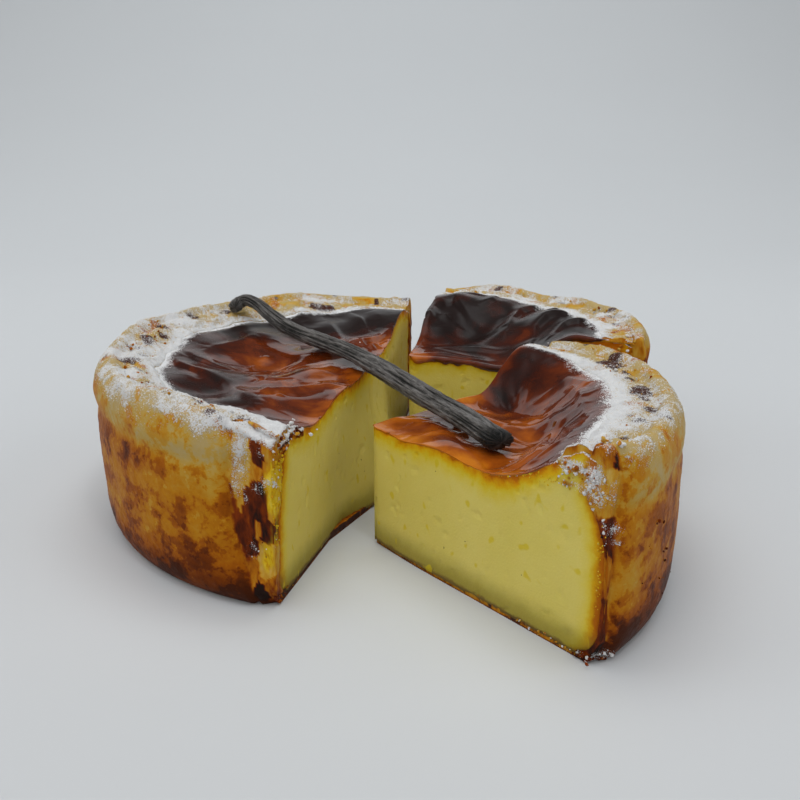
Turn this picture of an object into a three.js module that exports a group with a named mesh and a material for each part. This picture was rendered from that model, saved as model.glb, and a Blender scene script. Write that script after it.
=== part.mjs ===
// A baked custard flan, cut into a half and two quarters that still lie round
// one middle, with a vanilla pod laid across the cut. Millimetres, +Z up. The
// origin is on the table, under the middle of the whole footprint.
//
// Every slice is a sector of the same round flan: a pastry case with a thin
// floor, a nearly upright wall and a rolled rim, and the custard that fills it
// to a sunken, wavy top. Angles are degrees about a slice's own middle.

import * as THREE from "three";
import { mergeVertices } from "three/addons/utils/BufferGeometryUtils.js";

// ---- Driving sizes ---------------------------------------------------------

const RIM_RADIUS = 90; // an 18 cm flan ring
const RIM_HEIGHT = 53.4;
const WALL_BULGE = 0.8; // the wall swells past the rim at half height
const WALL_THICKNESS = 5.6;
const FLOOR_THICKNESS = 2;
const FOOT_ROUNDING = 9; // radius of the corner between floor and wall
const LIP_WIDTH = 8.5; // the rolled rim, from its outer side to the custard
const LIP_DROP = 1.6; // the custard meets the lip this far under its crest
const CLEARANCE = 0.3; // between pastry and custard

const ANGLE_STEP = 3; // degrees between the sections of a slice
const TOP_RINGS = 15; // rings of the custard's top, from the lip to the middle

const POD_WIDTH = 8.6;
const POD_THICKNESS = 5;
const POD_SIDES = 12;
const POD_STEPS = 52;

// Each slice: where its point lies, how far it is turned from its place in the
// whole flan, the two angles it was cut at, the height of the custard at its
// point and near the rim, and the radii between which the custard climbs. A
// swell lifts or sinks the custard's top round a spot, and a rise does the same
// to the rim round an angle.
const SLICES = {
  half: {
    point: [-6.67, -3.02],
    turn: 0,
    cuts: [80.3, 254.3],
    heights: { point: 45.2, shoulder: 49.4 },
    climb: [34, 72],
    swells: [
      { at: [13, 60], size: 22, lift: 1.2 },
      { at: [-16, -57], size: 13, lift: -5.6 },
      { at: [-52, -34], size: 14, lift: -2.2 },
      { at: [-38, 6], size: 12, lift: -2.6 },
      { at: [-14, 18], size: 10, lift: 2.4 },
      { at: [-30, -22], size: 9, lift: 1.8 },
      { at: [-56, 20], size: 11, lift: 1.6 },
      { at: [-6, -24], size: 9, lift: -1.0 },
      { at: [-30, 42], size: 11, lift: -1.8 },
    ],
    rises: [
      { angle: 168, width: 42, lift: 2 },
      { angle: 82, width: 20, lift: -2.6 },
      { angle: 256, width: 7, lift: -5.2 },
      { angle: 236, width: 12, lift: 1.4 },
    ],
    crumbled: { end: 1, reach: 13, depth: 2.6 },
  },
  front: {
    point: [-5.17, -47.62],
    turn: 56,
    cuts: [254.4, 345.6],
    heights: { point: 39.4, shoulder: 51.4 },
    climb: [46, 70],
    swells: [
      { at: [-17, -61], size: 9, lift: -5.6 },
      { at: [-13, -46], size: 9, lift: 1.4 },
      { at: [14, -48], size: 9, lift: -2.4 },
      { at: [46, -22], size: 9, lift: -3.4 },
      { at: [60, -18], size: 10, lift: 2.6 },
      { at: [34, -34], size: 12, lift: -1.6 },
      { at: [16, -18], size: 9, lift: -0.8 },
      { at: [30, -56], size: 9, lift: 1.4 },
    ],
    rises: [
      { angle: 254, width: 9, lift: 4.4 },
      { angle: 290, width: 16, lift: 1 },
      { angle: 346, width: 12, lift: -2.4 },
    ],
    crumbled: { end: 0, reach: 6, depth: 1.2 },
  },
  back: {
    point: [6.73, 27.18],
    turn: 0,
    cuts: [-13.5, 77.5],
    heights: { point: 40.6, shoulder: 51 },
    climb: [34, 64],
    swells: [
      { at: [9, 36], size: 12, lift: 7.2 },
      { at: [22, 28], size: 10, lift: -2.2 },
      { at: [40, 18], size: 11, lift: 3 },
      { at: [60, -12], size: 10, lift: 2.2 },
      { at: [38, -8], size: 9, lift: -2.2 },
      { at: [26, 52], size: 10, lift: 1.6 },
      { at: [48, 38], size: 9, lift: -1.8 },
    ],
    rises: [
      { angle: -14, width: 10, lift: 0.8 },
      { angle: 46, width: 16, lift: -1.6 },
      { angle: 78, width: 14, lift: -3.4 },
    ],
    crumbled: { end: 0, reach: 8, depth: 1 },
  },
};

// The pod's middle line, from its hooked tail on the half's rim to its blunt
// head on the front quarter: spots relative to the half's point, with their
// height over the table, and the pod's width there as a share of POD_WIDTH.
const POD_LINE = [
  { at: [-55.4, 49.9, 55.1], width: 0.64 },
  { at: [-54.8, 54.3, 56.0], width: 0.56 },
  { at: [-51.1, 53.3, 57.4], width: 0.46 },
  { at: [-46.2, 47.1, 57.2], width: 0.46 },
  { at: [-39.7, 37.2, 55.2], width: 0.54 },
  { at: [-32.8, 27.2, 53.2], width: 0.66 },
  { at: [-24.5, 18.8, 51.6], width: 0.8 },
  { at: [-14.7, 10.0, 50.5], width: 0.9 },
  { at: [-3.5, -2.9, 49.3], width: 0.97 },
  { at: [8.6, -20.2, 47.3], width: 1 },
  { at: [19.4, -35.0, 44.8], width: 1 },
  { at: [28.3, -47.0, 43.2], width: 1 },
  { at: [34.6, -61.0, 43.1], width: 1 },
  { at: [38.0, -71.4, 44.0], width: 1.02 },
];

// ---- Helpers ---------------------------------------------------------------

const toRadians = THREE.MathUtils.degToRad;
const smooth = THREE.MathUtils.smoothstep;
const mix = THREE.MathUtils.lerp;

function hill(distance, size) {
  return Math.exp(-((distance / size) ** 2));
}

function polar(radius, angle) {
  return [radius * Math.cos(toRadians(angle)), radius * Math.sin(toRadians(angle))];
}

// ---- The flan's form -------------------------------------------------------

// How high the rim's crest stands at an angle.
function crestHeight(slice, angle) {
  const waves = 0.5 * Math.sin(toRadians(7 * angle)) + 0.35 * Math.sin(toRadians(13 * angle + 40));
  return slice.rises.reduce(
    (height, rise) => height + rise.lift * hill(angle - rise.angle, rise.width),
    RIM_HEIGHT + waves,
  );
}

// How far the wall wanders from a true circle, more at the rim than at the foot.
function wallWander(angle, height) {
  const share = smooth(height, 0, RIM_HEIGHT);
  const slow = 0.6 * Math.sin(toRadians(3 * angle + 210));
  const quick = 0.35 * Math.sin(toRadians(11 * angle + 50));
  return share * (slow + quick);
}

// How much pastry has broken away beside a ragged cut.
function crumbledAway(slice, angle, height) {
  const { end, reach, depth } = slice.crumbled;
  const away = Math.abs(angle - slice.cuts[end]);
  const level = smooth(height, 4, 14);
  return depth * level * (1 - smooth(away, 0.25 * reach, reach));
}

// How far a wall swells at a height.
function bulge(height) {
  return WALL_BULGE * Math.sin(Math.PI * Math.min(1, height / (0.9 * RIM_HEIGHT)));
}

// The outer side of the wall, from the foot to under the lip.
function wallRadius(slice, angle, height) {
  const tuck = FOOT_ROUNDING - height;
  const foot = tuck > 0 ? FOOT_ROUNDING - Math.sqrt(FOOT_ROUNDING ** 2 - tuck ** 2) : 0;
  const loose = wallWander(angle, height) - crumbledAway(slice, angle, height);
  return RIM_RADIUS + bulge(height) - 0.45 * foot + loose;
}

// The inner side of the wall, where the custard touches it.
function liningRadius(height) {
  const tuck = Math.max(0, FOOT_ROUNDING - (height - FLOOR_THICKNESS));
  const foot = FOOT_ROUNDING - Math.sqrt(FOOT_ROUNDING ** 2 - tuck ** 2);
  return RIM_RADIUS - WALL_THICKNESS + 0.7 * bulge(height) - 0.55 * foot;
}

// The custard's top at a spot of the whole flan, [x, y] from its middle.
function topHeight(slice, x, y) {
  const radius = Math.hypot(x, y);
  const angle = THREE.MathUtils.radToDeg(Math.atan2(y, x));
  const { point, shoulder } = slice.heights;
  const climbed = mix(point, shoulder, smooth(radius, ...slice.climb));
  const swollen = slice.swells.reduce(
    (height, swell) =>
      height + swell.lift * hill(Math.hypot(x - swell.at[0], y - swell.at[1]), swell.size),
    climbed,
  );
  const ripple = 0.45 * Math.sin(x / 5.1 + y / 8.3) + 0.4 * Math.sin(y / 4.3 - x / 9.7 + 1);
  const calm = smooth(radius, 4, 16);
  const brim = crestHeight(slice, unwound(slice, angle)) - LIP_DROP;
  return mix(swollen + calm * ripple, brim, smooth(radius, 69, RIM_RADIUS - LIP_WIDTH));
}

// The same direction as an angle within half a turn of the slice's own middle.
function unwound(slice, angle) {
  const middle = (slice.cuts[0] + slice.cuts[1]) / 2;
  return middle + (((angle - middle + 540) % 360) + 360) % 360 - 180;
}

// ---- Sections: closed outlines of [radius, height], axis first -------------

function crustSection(slice, angle) {
  const crest = crestHeight(slice, angle);
  const lipSide = crest - 6;
  const outer = [0, 0.06, 0.2, 0.42, 0.68, 1].map((share) => share * FOOT_ROUNDING);
  const upper = [0.34, 0.51, 0.68, 0.85].map((share) => share * lipSide);
  const walls = [...outer, ...upper].map((height) => [
    wallRadius(slice, angle, height),
    height,
  ]);
  const lip = [
    [wallRadius(slice, angle, lipSide), lipSide],
    [wallRadius(slice, angle, lipSide) - 0.9, crest - 2.2],
    [RIM_RADIUS - 3.4, crest - 0.1],
    [RIM_RADIUS - 6, crest - 0.3],
    [RIM_RADIUS - LIP_WIDTH, crest - LIP_DROP],
    [RIM_RADIUS - LIP_WIDTH + 0.8, crest - LIP_DROP - 2.6],
  ];
  const lining = [40, 26, 14, 8.2, 4.8, FLOOR_THICKNESS].map((height) => [
    liningRadius(height),
    height,
  ]);
  return [[0, 0], ...walls, ...lip, ...lining, [0, FLOOR_THICKNESS]];
}

function custardSection(slice, angle) {
  const crest = crestHeight(slice, angle);
  const floor = FLOOR_THICKNESS + CLEARANCE;
  const corner = [liningRadius(FLOOR_THICKNESS) - CLEARANCE, floor];
  const side = [4.8, 8.2, 14, 26, 40].map((height) => [
    liningRadius(height) - CLEARANCE,
    height,
  ]);
  const edge = RIM_RADIUS - LIP_WIDTH - CLEARANCE;
  const underLip = [edge + 0.8, crest - LIP_DROP - 2.6];
  const top = [];
  for (let ring = 0; ring <= TOP_RINGS; ring += 1) {
    const radius = edge * (1 - ring / TOP_RINGS);
    const [x, y] = polar(radius, angle);
    top.push([radius, topHeight(slice, x, y)]);
  }
  return [[0, floor], corner, ...side, underLip, ...top];
}

// ---- Solids ----------------------------------------------------------------

// A closed body from triangles given as corner points, with shared corners
// merged and the triangles that shrink to nothing on the axis left out.
function closedBody(corners) {
  const loose = new THREE.BufferGeometry().setAttribute(
    "position",
    new THREE.Float32BufferAttribute(corners.flat(), 3),
  );
  const merged = mergeVertices(loose, 1e-3);
  const index = merged.index.array;
  const kept = [];
  for (let i = 0; i < index.length; i += 3) {
    const [a, b, c] = index.slice(i, i + 3);
    if (a !== b && b !== c && c !== a) kept.push(a, b, c);
  }
  return merged.setIndex(kept);
}

// A sector of the flan: the section swept from one cut to the other, with both
// cut faces filled in.
function sector(slice, sectionAt) {
  const [from, to] = slice.cuts;
  const steps = Math.round((to - from) / ANGLE_STEP);
  const place = ([radius, height], angle) => [...polar(radius, angle), height];
  const corners = [];
  for (let step = 0; step < steps; step += 1) {
    const angle = mix(from, to, step / steps);
    const next = mix(from, to, (step + 1) / steps);
    const here = sectionAt(slice, angle);
    const there = sectionAt(slice, next);
    here.forEach((spot, i) => {
      const j = (i + 1) % here.length;
      const [a, b] = [place(spot, angle), place(here[j], angle)];
      const [c, d] = [place(there[j], next), place(there[i], next)];
      corners.push(a, d, c, a, c, b);
    });
  }
  for (const [angle, flip] of [[from, false], [to, true]]) {
    const section = sectionAt(slice, angle);
    const flat = section.map(([radius, height]) => new THREE.Vector2(radius, height));
    for (const [a, b, c] of THREE.ShapeUtils.triangulateShape(flat, [])) {
      const face = [a, b, c].map((i) => place(section[i], angle));
      corners.push(...(flip ? face.reverse() : face));
    }
  }
  return closedBody(corners);
}

// ---- The vanilla pod -------------------------------------------------------

// The pod's middle line in the frame.
const podCurve = new THREE.CatmullRomCurve3(
  POD_LINE.map(({ at }) => {
    const [x, y] = SLICES.half.point;
    return new THREE.Vector3(x + at[0], y + at[1], at[2]);
  }),
  false,
  "centripetal",
);

// Half the pod's width and thickness at a share of its length. Both are drawn
// in at the blunt head and at the tail's tip.
function podSection(share) {
  const place = Math.min(share * (POD_LINE.length - 1), POD_LINE.length - 1.001);
  const low = Math.floor(place);
  const width = mix(POD_LINE[low].width, POD_LINE[low + 1].width, place - low);
  const blunt = Math.sqrt(Math.min(1, (1 - share) / 0.018 + 0.12, share / 0.02 + 0.2));
  return [(POD_WIDTH / 2) * width * blunt, (POD_THICKNESS / 2) * mix(0.8, 1, width) * blunt];
}

function podBody() {
  const spots = Array.from({ length: POD_STEPS + 1 }, (_, step) =>
    podCurve.getPoint(step / POD_STEPS),
  );
  const rings = [];
  for (let step = 0; step <= POD_STEPS; step += 1) {
    const share = step / POD_STEPS;
    const middle = spots[step];
    const ahead = spots[Math.min(step + 1, POD_STEPS)]
      .clone()
      .sub(spots[Math.max(step - 1, 0)])
      .normalize();
    const side = new THREE.Vector3(-ahead.y, ahead.x, 0).normalize();
    const up = new THREE.Vector3().crossVectors(ahead, side).normalize();
    const [halfWidth, halfHeight] = podSection(share);
    const ring = [];
    for (let i = 0; i < POD_SIDES; i += 1) {
      const turn = (2 * Math.PI * i) / POD_SIDES;
      const spot = middle
        .clone()
        .addScaledVector(side, halfWidth * Math.cos(turn))
        .addScaledVector(up, halfHeight * Math.sin(turn));
      ring.push(spot.toArray());
    }
    rings.push(ring);
  }
  const corners = [];
  for (let step = 0; step < POD_STEPS; step += 1) {
    for (let i = 0; i < POD_SIDES; i += 1) {
      const j = (i + 1) % POD_SIDES;
      const [a, b, c, d] = [rings[step][i], rings[step][j], rings[step + 1][j], rings[step + 1][i]];
      corners.push(a, b, c, a, c, d);
    }
  }
  const tail = spots[0].toArray();
  const head = spots[POD_STEPS].toArray();
  for (let i = 0; i < POD_SIDES; i += 1) {
    const j = (i + 1) % POD_SIDES;
    corners.push(tail, rings[0][j], rings[0][i]);
    corners.push(head, rings[POD_STEPS][i], rings[POD_STEPS][j]);
  }
  return closedBody(corners);
}

// ---- The model -------------------------------------------------------------

const pastry = new THREE.MeshStandardMaterial({ color: 0xb9803a, roughness: 0.7, metalness: 0 });
const custard = new THREE.MeshStandardMaterial({ color: 0xd8c257, roughness: 0.5, metalness: 0 });
const pod = new THREE.MeshStandardMaterial({ color: 0x1d1815, roughness: 0.55, metalness: 0 });

function named(name, geometry, material) {
  geometry.computeVertexNormals();
  const mesh = new THREE.Mesh(geometry, material);
  mesh.name = name;
  return mesh;
}

const flan = new THREE.Group();
for (const [name, slice] of Object.entries(SLICES)) {
  const group = new THREE.Group();
  group.add(named(`crust_${name}`, sector(slice, crustSection), pastry));
  group.add(named(`custard_${name}`, sector(slice, custardSection), custard));
  group.position.set(slice.point[0], slice.point[1], 0);
  group.rotation.z = toRadians(slice.turn);
  flan.add(group);
}
flan.add(named("vanilla_pod", podBody(), pod));

export default flan;
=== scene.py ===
"""A baked custard flan, cut into a half and two quarters, with a vanilla pod laid across it.

Shapes are worked out in millimetres in each slice's own place round the flan's middle, then
moved to where the slice lies and handed to Blender in metres.
"""

import math

import bpy
import numpy as np
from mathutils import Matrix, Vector


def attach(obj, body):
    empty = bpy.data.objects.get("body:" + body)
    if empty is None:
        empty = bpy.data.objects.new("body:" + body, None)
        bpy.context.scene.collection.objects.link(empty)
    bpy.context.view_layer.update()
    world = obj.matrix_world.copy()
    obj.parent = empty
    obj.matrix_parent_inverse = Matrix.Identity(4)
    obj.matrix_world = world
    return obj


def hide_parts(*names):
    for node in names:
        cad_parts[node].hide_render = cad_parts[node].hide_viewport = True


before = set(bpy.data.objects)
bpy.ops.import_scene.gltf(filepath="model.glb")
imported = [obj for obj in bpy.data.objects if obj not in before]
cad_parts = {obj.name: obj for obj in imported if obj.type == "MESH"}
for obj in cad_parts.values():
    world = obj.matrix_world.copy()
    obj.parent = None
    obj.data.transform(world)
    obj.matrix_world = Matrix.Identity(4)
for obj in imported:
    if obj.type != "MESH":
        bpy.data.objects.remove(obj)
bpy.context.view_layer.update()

MM = 0.001

# ---- Sizes shared with the solids, in millimetres and degrees ---------------------------------

RIM_RADIUS = 90.0
RIM_HEIGHT = 53.4
WALL_BULGE = 0.8
WALL_THICKNESS = 5.6
FLOOR_THICKNESS = 2.0
FOOT_ROUNDING = 9.0
LIP_WIDTH = 8.5
LIP_DROP = 1.6
POD_WIDTH = 8.6
POD_THICKNESS = 5.0

# Each slice: where its point stands, its turn, the angles of its two cuts, the custard's height at the
# point and at the rim and the radii between which it climbs, the swells of its top (x, y, size, height),
# the rises of the rim (angle, width, height), which cut has a crumbled corner, how far round it runs and
# how deep, and how far the foot beside the point has spread.
SLICES = {
    "half": {
        "point": (-6.67, -3.02), "turn": 0.0, "cuts": (80.3, 254.3),
        "heights": (45.2, 49.4), "climb": (34.0, 72.0),
        "swells": [
            (13, 60, 22, 1.2), (-16, -57, 13, -5.6), (-52, -34, 14, -2.2), (-38, 6, 12, -2.6),
            (-14, 18, 10, 2.4), (-30, -22, 9, 1.8), (-56, 20, 11, 1.6), (-6, -24, 9, -1.0),
            (-30, 42, 11, -1.8),
        ],
        "rises": [(168, 42, 2.0), (82, 20, -2.6), (256, 7, -5.2), (236, 12, 1.4)],
        "crumbled": (1, 13.0, 2.6), "spread": 8.0,
    },
    "front": {
        "point": (-5.17, -47.62), "turn": 56.0, "cuts": (254.4, 345.6),
        "heights": (39.4, 51.4), "climb": (46.0, 70.0),
        "swells": [
            (-17, -61, 9, -5.6), (-13, -46, 9, 1.4), (14, -48, 9, -2.4), (46, -22, 9, -3.4),
            (60, -18, 10, 2.6), (34, -34, 12, -1.6), (16, -18, 9, -0.8), (30, -56, 9, 1.4),
        ],
        "rises": [(254, 9, 4.4), (290, 16, 1.0), (346, 12, -2.4)],
        "crumbled": (0, 6.0, 1.2), "spread": 0.0,
    },
    "back": {
        "point": (6.73, 27.18), "turn": 0.0, "cuts": (-13.5, 77.5),
        "heights": (40.6, 51.0), "climb": (34.0, 64.0),
        "swells": [
            (9, 36, 12, 7.2), (22, 28, 10, -2.2), (40, 18, 11, 3.0), (60, -12, 10, 2.2),
            (38, -8, 9, -2.2), (26, 52, 10, 1.6), (48, 38, 9, -1.8),
        ],
        "rises": [(-14, 10, 0.8), (46, 16, -1.6), (78, 14, -3.4)],
        "crumbled": (0, 9.0, 1.8), "spread": 0.0,
    },
}

# The pod's middle line relative to the half's point, and its width as a share of POD_WIDTH.
POD_LINE = [
    (-55.4, 49.9, 55.1, 0.64), (-54.8, 54.3, 56.0, 0.56), (-51.1, 53.3, 57.4, 0.46),
    (-46.2, 47.1, 57.2, 0.46), (-39.7, 37.2, 55.2, 0.54), (-32.8, 27.2, 53.2, 0.66),
    (-24.5, 18.8, 51.6, 0.8), (-14.7, 10.0, 50.5, 0.9), (-3.5, -2.9, 49.3, 0.97),
    (8.6, -20.2, 47.3, 1.0), (19.4, -35.0, 44.8, 1.0), (28.3, -47.0, 43.2, 1.0),
    (34.6, -61.0, 43.1, 1.0), (38.0, -71.4, 44.0, 1.02),
]

# ---- Sizes of the dressed surfaces --------------------------------------------------------------

SKIN_EDGE = 70.5        # radius at which the sugared rim starts to cover the glazed skin
FINE_STEP = 0.55        # spacing of the vertices that carry the fine relief
TUCK = 4.0              # how far the skin runs on under the rim
LEAST_LAP = 0.04        # a lap of the skin over a cut that is smaller than this is left out
CUSTARD_REACH = 83.2    # radius to which the custard runs inside the crust
BITE = 0.8              # how far the custard's sides reach into the crust
EVEN_RADIUS = 64.0      # radius at which the skin's columns are one fine step apart
PASTRY_STEP = 1.2 * FINE_STEP
PASTRY_EVERY = 6        # one column of the crust's hidden inside to so many of the outside
END_LAYERS = 8          # rows of vertices across the broken end of a crust
CORNER_ROUNDING = 2.6   # how far the foot's corner beside a cut is worn back
POD_RINGS = 300
POD_SIDES = 72
CUT_ENDS = ((0, 0), (1, -1))    # each cut of a slice, and which end of a row lies on it

# The spread foot: which way it has moved, between which radii it ends, and how high it reaches.
SPREAD_WAY = (0.963, -0.271)
SPREAD_REACH = (8.0, 38.0)
SPREAD_HEIGHT = 34.0

# ---- Small helpers ---------------------------------------------------------------------------------


def smooth(value, low, high):
    """0 below low, 1 above high, and an S-shaped climb between."""
    share = np.clip((value - low) / (high - low), 0.0, 1.0)
    return share * share * (3.0 - 2.0 * share)


def hill(distance, size):
    """1 at no distance, falling like a soft hill about size wide."""
    return np.exp(-((distance / size) ** 2))


def mix(low, high, share):
    return low + (high - low) * share


def wave(degrees):
    return np.sin(np.radians(degrees))


def polar(radius, angle):
    return radius * np.cos(np.radians(angle)), radius * np.sin(np.radians(angle))


def lattice(ix, iy, iz, seed):
    """A fixed random number from 0 to 1 for each whole-numbered spot."""
    n = (ix * 374761393 + iy * 668265263 + iz * 1440662683 + seed * 974634777) & 0xFFFFFFFF
    n = ((n ^ (n >> 13)) * 1274126177) & 0xFFFFFFFF
    return (n ^ (n >> 16)) / 4294967295.0


def noise(x, y, z, size, seed=0):
    """Smooth noise from -1 to 1, with bumps about size wide."""
    spots = [np.asarray(v, float) / size for v in np.broadcast_arrays(x, y, z)]
    whole = [np.floor(v).astype(np.int64) for v in spots]
    share = [v - w for v, w in zip(spots, whole)]
    share = [v * v * (3.0 - 2.0 * v) for v in share]
    total = 0.0
    for dx in (0, 1):
        wx = share[0] if dx else 1.0 - share[0]
        for dy in (0, 1):
            wy = share[1] if dy else 1.0 - share[1]
            for dz in (0, 1):
                wz = share[2] if dz else 1.0 - share[2]
                corner = lattice(whole[0] + dx, whole[1] + dy, whole[2] + dz, seed)
                total = total + wx * wy * wz * corner
    return 2.0 * total - 1.0


def rough(x, y, z, size, layers=4, seed=0, fall=0.5):
    """Noise in several layers, each half the size of the one before, from about -1 to 1."""
    total, weight, most = 0.0, 1.0, 0.0
    for layer in range(layers):
        total = total + weight * noise(x, y, z, size / 2 ** layer, seed + 17 * layer)
        most += weight
        weight *= fall
    return total / most


def seed_of(name, first, step=1):
    """The number that a slice's noise starts from, its own for each slice."""
    return first + step * list(SLICES).index(name)


def along_path(x, y, path):
    """Distance from each spot to a path of (x, y) points, the share passed, and on which side."""
    path = np.asarray(path, float)
    best = np.full(np.shape(x), 1e9)
    share, side = np.zeros(np.shape(x)), np.zeros(np.shape(x))
    for k in range(len(path) - 1):
        (ax, ay), (bx, by) = path[k][:2], path[k + 1][:2]
        dx, dy = bx - ax, by - ay
        t = np.clip(((x - ax) * dx + (y - ay) * dy) / (dx * dx + dy * dy), 0.0, 1.0)
        away = np.hypot(x - ax - t * dx, y - ay - t * dy)
        nearer = away < best
        best = np.where(nearer, away, best)
        share = np.where(nearer, (k + t) / (len(path) - 1), share)
        side = np.where(nearer, dx * (y - ay) - dy * (x - ax), side)
    return best, share, side


# ---- The flan's form, as in the solids ---------------------------------------------------------


def unwound(piece, angle):
    """The same direction as an angle within half a turn of the slice's own middle."""
    middle = sum(piece["cuts"]) / 2
    return middle + np.mod(angle - middle + 180.0, 360.0) - 180.0


def crest_height(piece, angle):
    height = RIM_HEIGHT + 0.5 * wave(7 * angle) + 0.35 * wave(13 * angle + 40)
    for at, width, lift in piece["rises"]:
        height = height + lift * hill(angle - at, width)
    return height


def wall_bulge(height):
    return WALL_BULGE * np.sin(np.pi * np.minimum(1.0, height / (0.9 * RIM_HEIGHT)))


def wall_radius(piece, angle, height):
    tuck = np.maximum(0.0, FOOT_ROUNDING - height)
    foot = FOOT_ROUNDING - np.sqrt(FOOT_ROUNDING ** 2 - tuck ** 2)
    share = smooth(height, 0.0, RIM_HEIGHT)
    wander = share * (0.6 * wave(3 * angle + 210) + 0.35 * wave(11 * angle + 50))
    end, reach, depth = piece["crumbled"]
    away = np.abs(angle - piece["cuts"][end])
    broken = depth * smooth(height, 4.0, 14.0) * (1.0 - smooth(away, 0.25 * reach, reach))
    broken = broken + CORNER_ROUNDING * (1.0 - smooth(height, 1.0, 11.0)) * (1.0 - smooth(away, 0.0, 4.0))
    return RIM_RADIUS + wall_bulge(height) - 0.45 * foot + wander - broken


def lining_radius(height):
    tuck = np.clip(FOOT_ROUNDING - (height - FLOOR_THICKNESS), 0.0, FOOT_ROUNDING)
    foot = FOOT_ROUNDING - np.sqrt(FOOT_ROUNDING ** 2 - tuck ** 2)
    return RIM_RADIUS - WALL_THICKNESS + 0.7 * wall_bulge(height) - 0.55 * foot


def top_height(piece, x, y):
    """The custard's top at a spot of the whole flan."""
    radius = np.hypot(x, y)
    angle = unwound(piece, np.degrees(np.arctan2(y, x)))
    height = mix(*piece["heights"], smooth(radius, *piece["climb"]))
    for at_x, at_y, size, lift in piece["swells"]:
        height = height + lift * hill(np.hypot(x - at_x, y - at_y), size)
    ripple = 0.45 * np.sin(x / 5.1 + y / 8.3) + 0.4 * np.sin(y / 4.3 - x / 9.7 + 1.0)
    height = height + smooth(radius, 4.0, 16.0) * ripple
    brim = crest_height(piece, angle) - LIP_DROP
    return mix(height, brim, smooth(radius, 69.0, RIM_RADIUS - LIP_WIDTH))


def placed(piece, x, y, z):
    """Spots of the whole flan, moved to where the slice lies, as an (n, 3) array in mm.

    The half's foot has spread to the right beside its point, by as much as its "spread".
    """
    turn = math.radians(piece["turn"])
    near = 1.0 - smooth(np.hypot(x, y), *SPREAD_REACH)
    moved = piece["spread"] * near * (1.0 - smooth(z, 0.0, SPREAD_HEIGHT))
    x, y = x + SPREAD_WAY[0] * moved, y + SPREAD_WAY[1] * moved
    at_x = piece["point"][0] + math.cos(turn) * x - math.sin(turn) * y
    at_y = piece["point"][1] + math.sin(turn) * x + math.cos(turn) * y
    return np.stack(np.broadcast_arrays(at_x, at_y, z), -1)


# ---- The glazed skin's folds and the marks of baking ------------------------------------------

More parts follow.
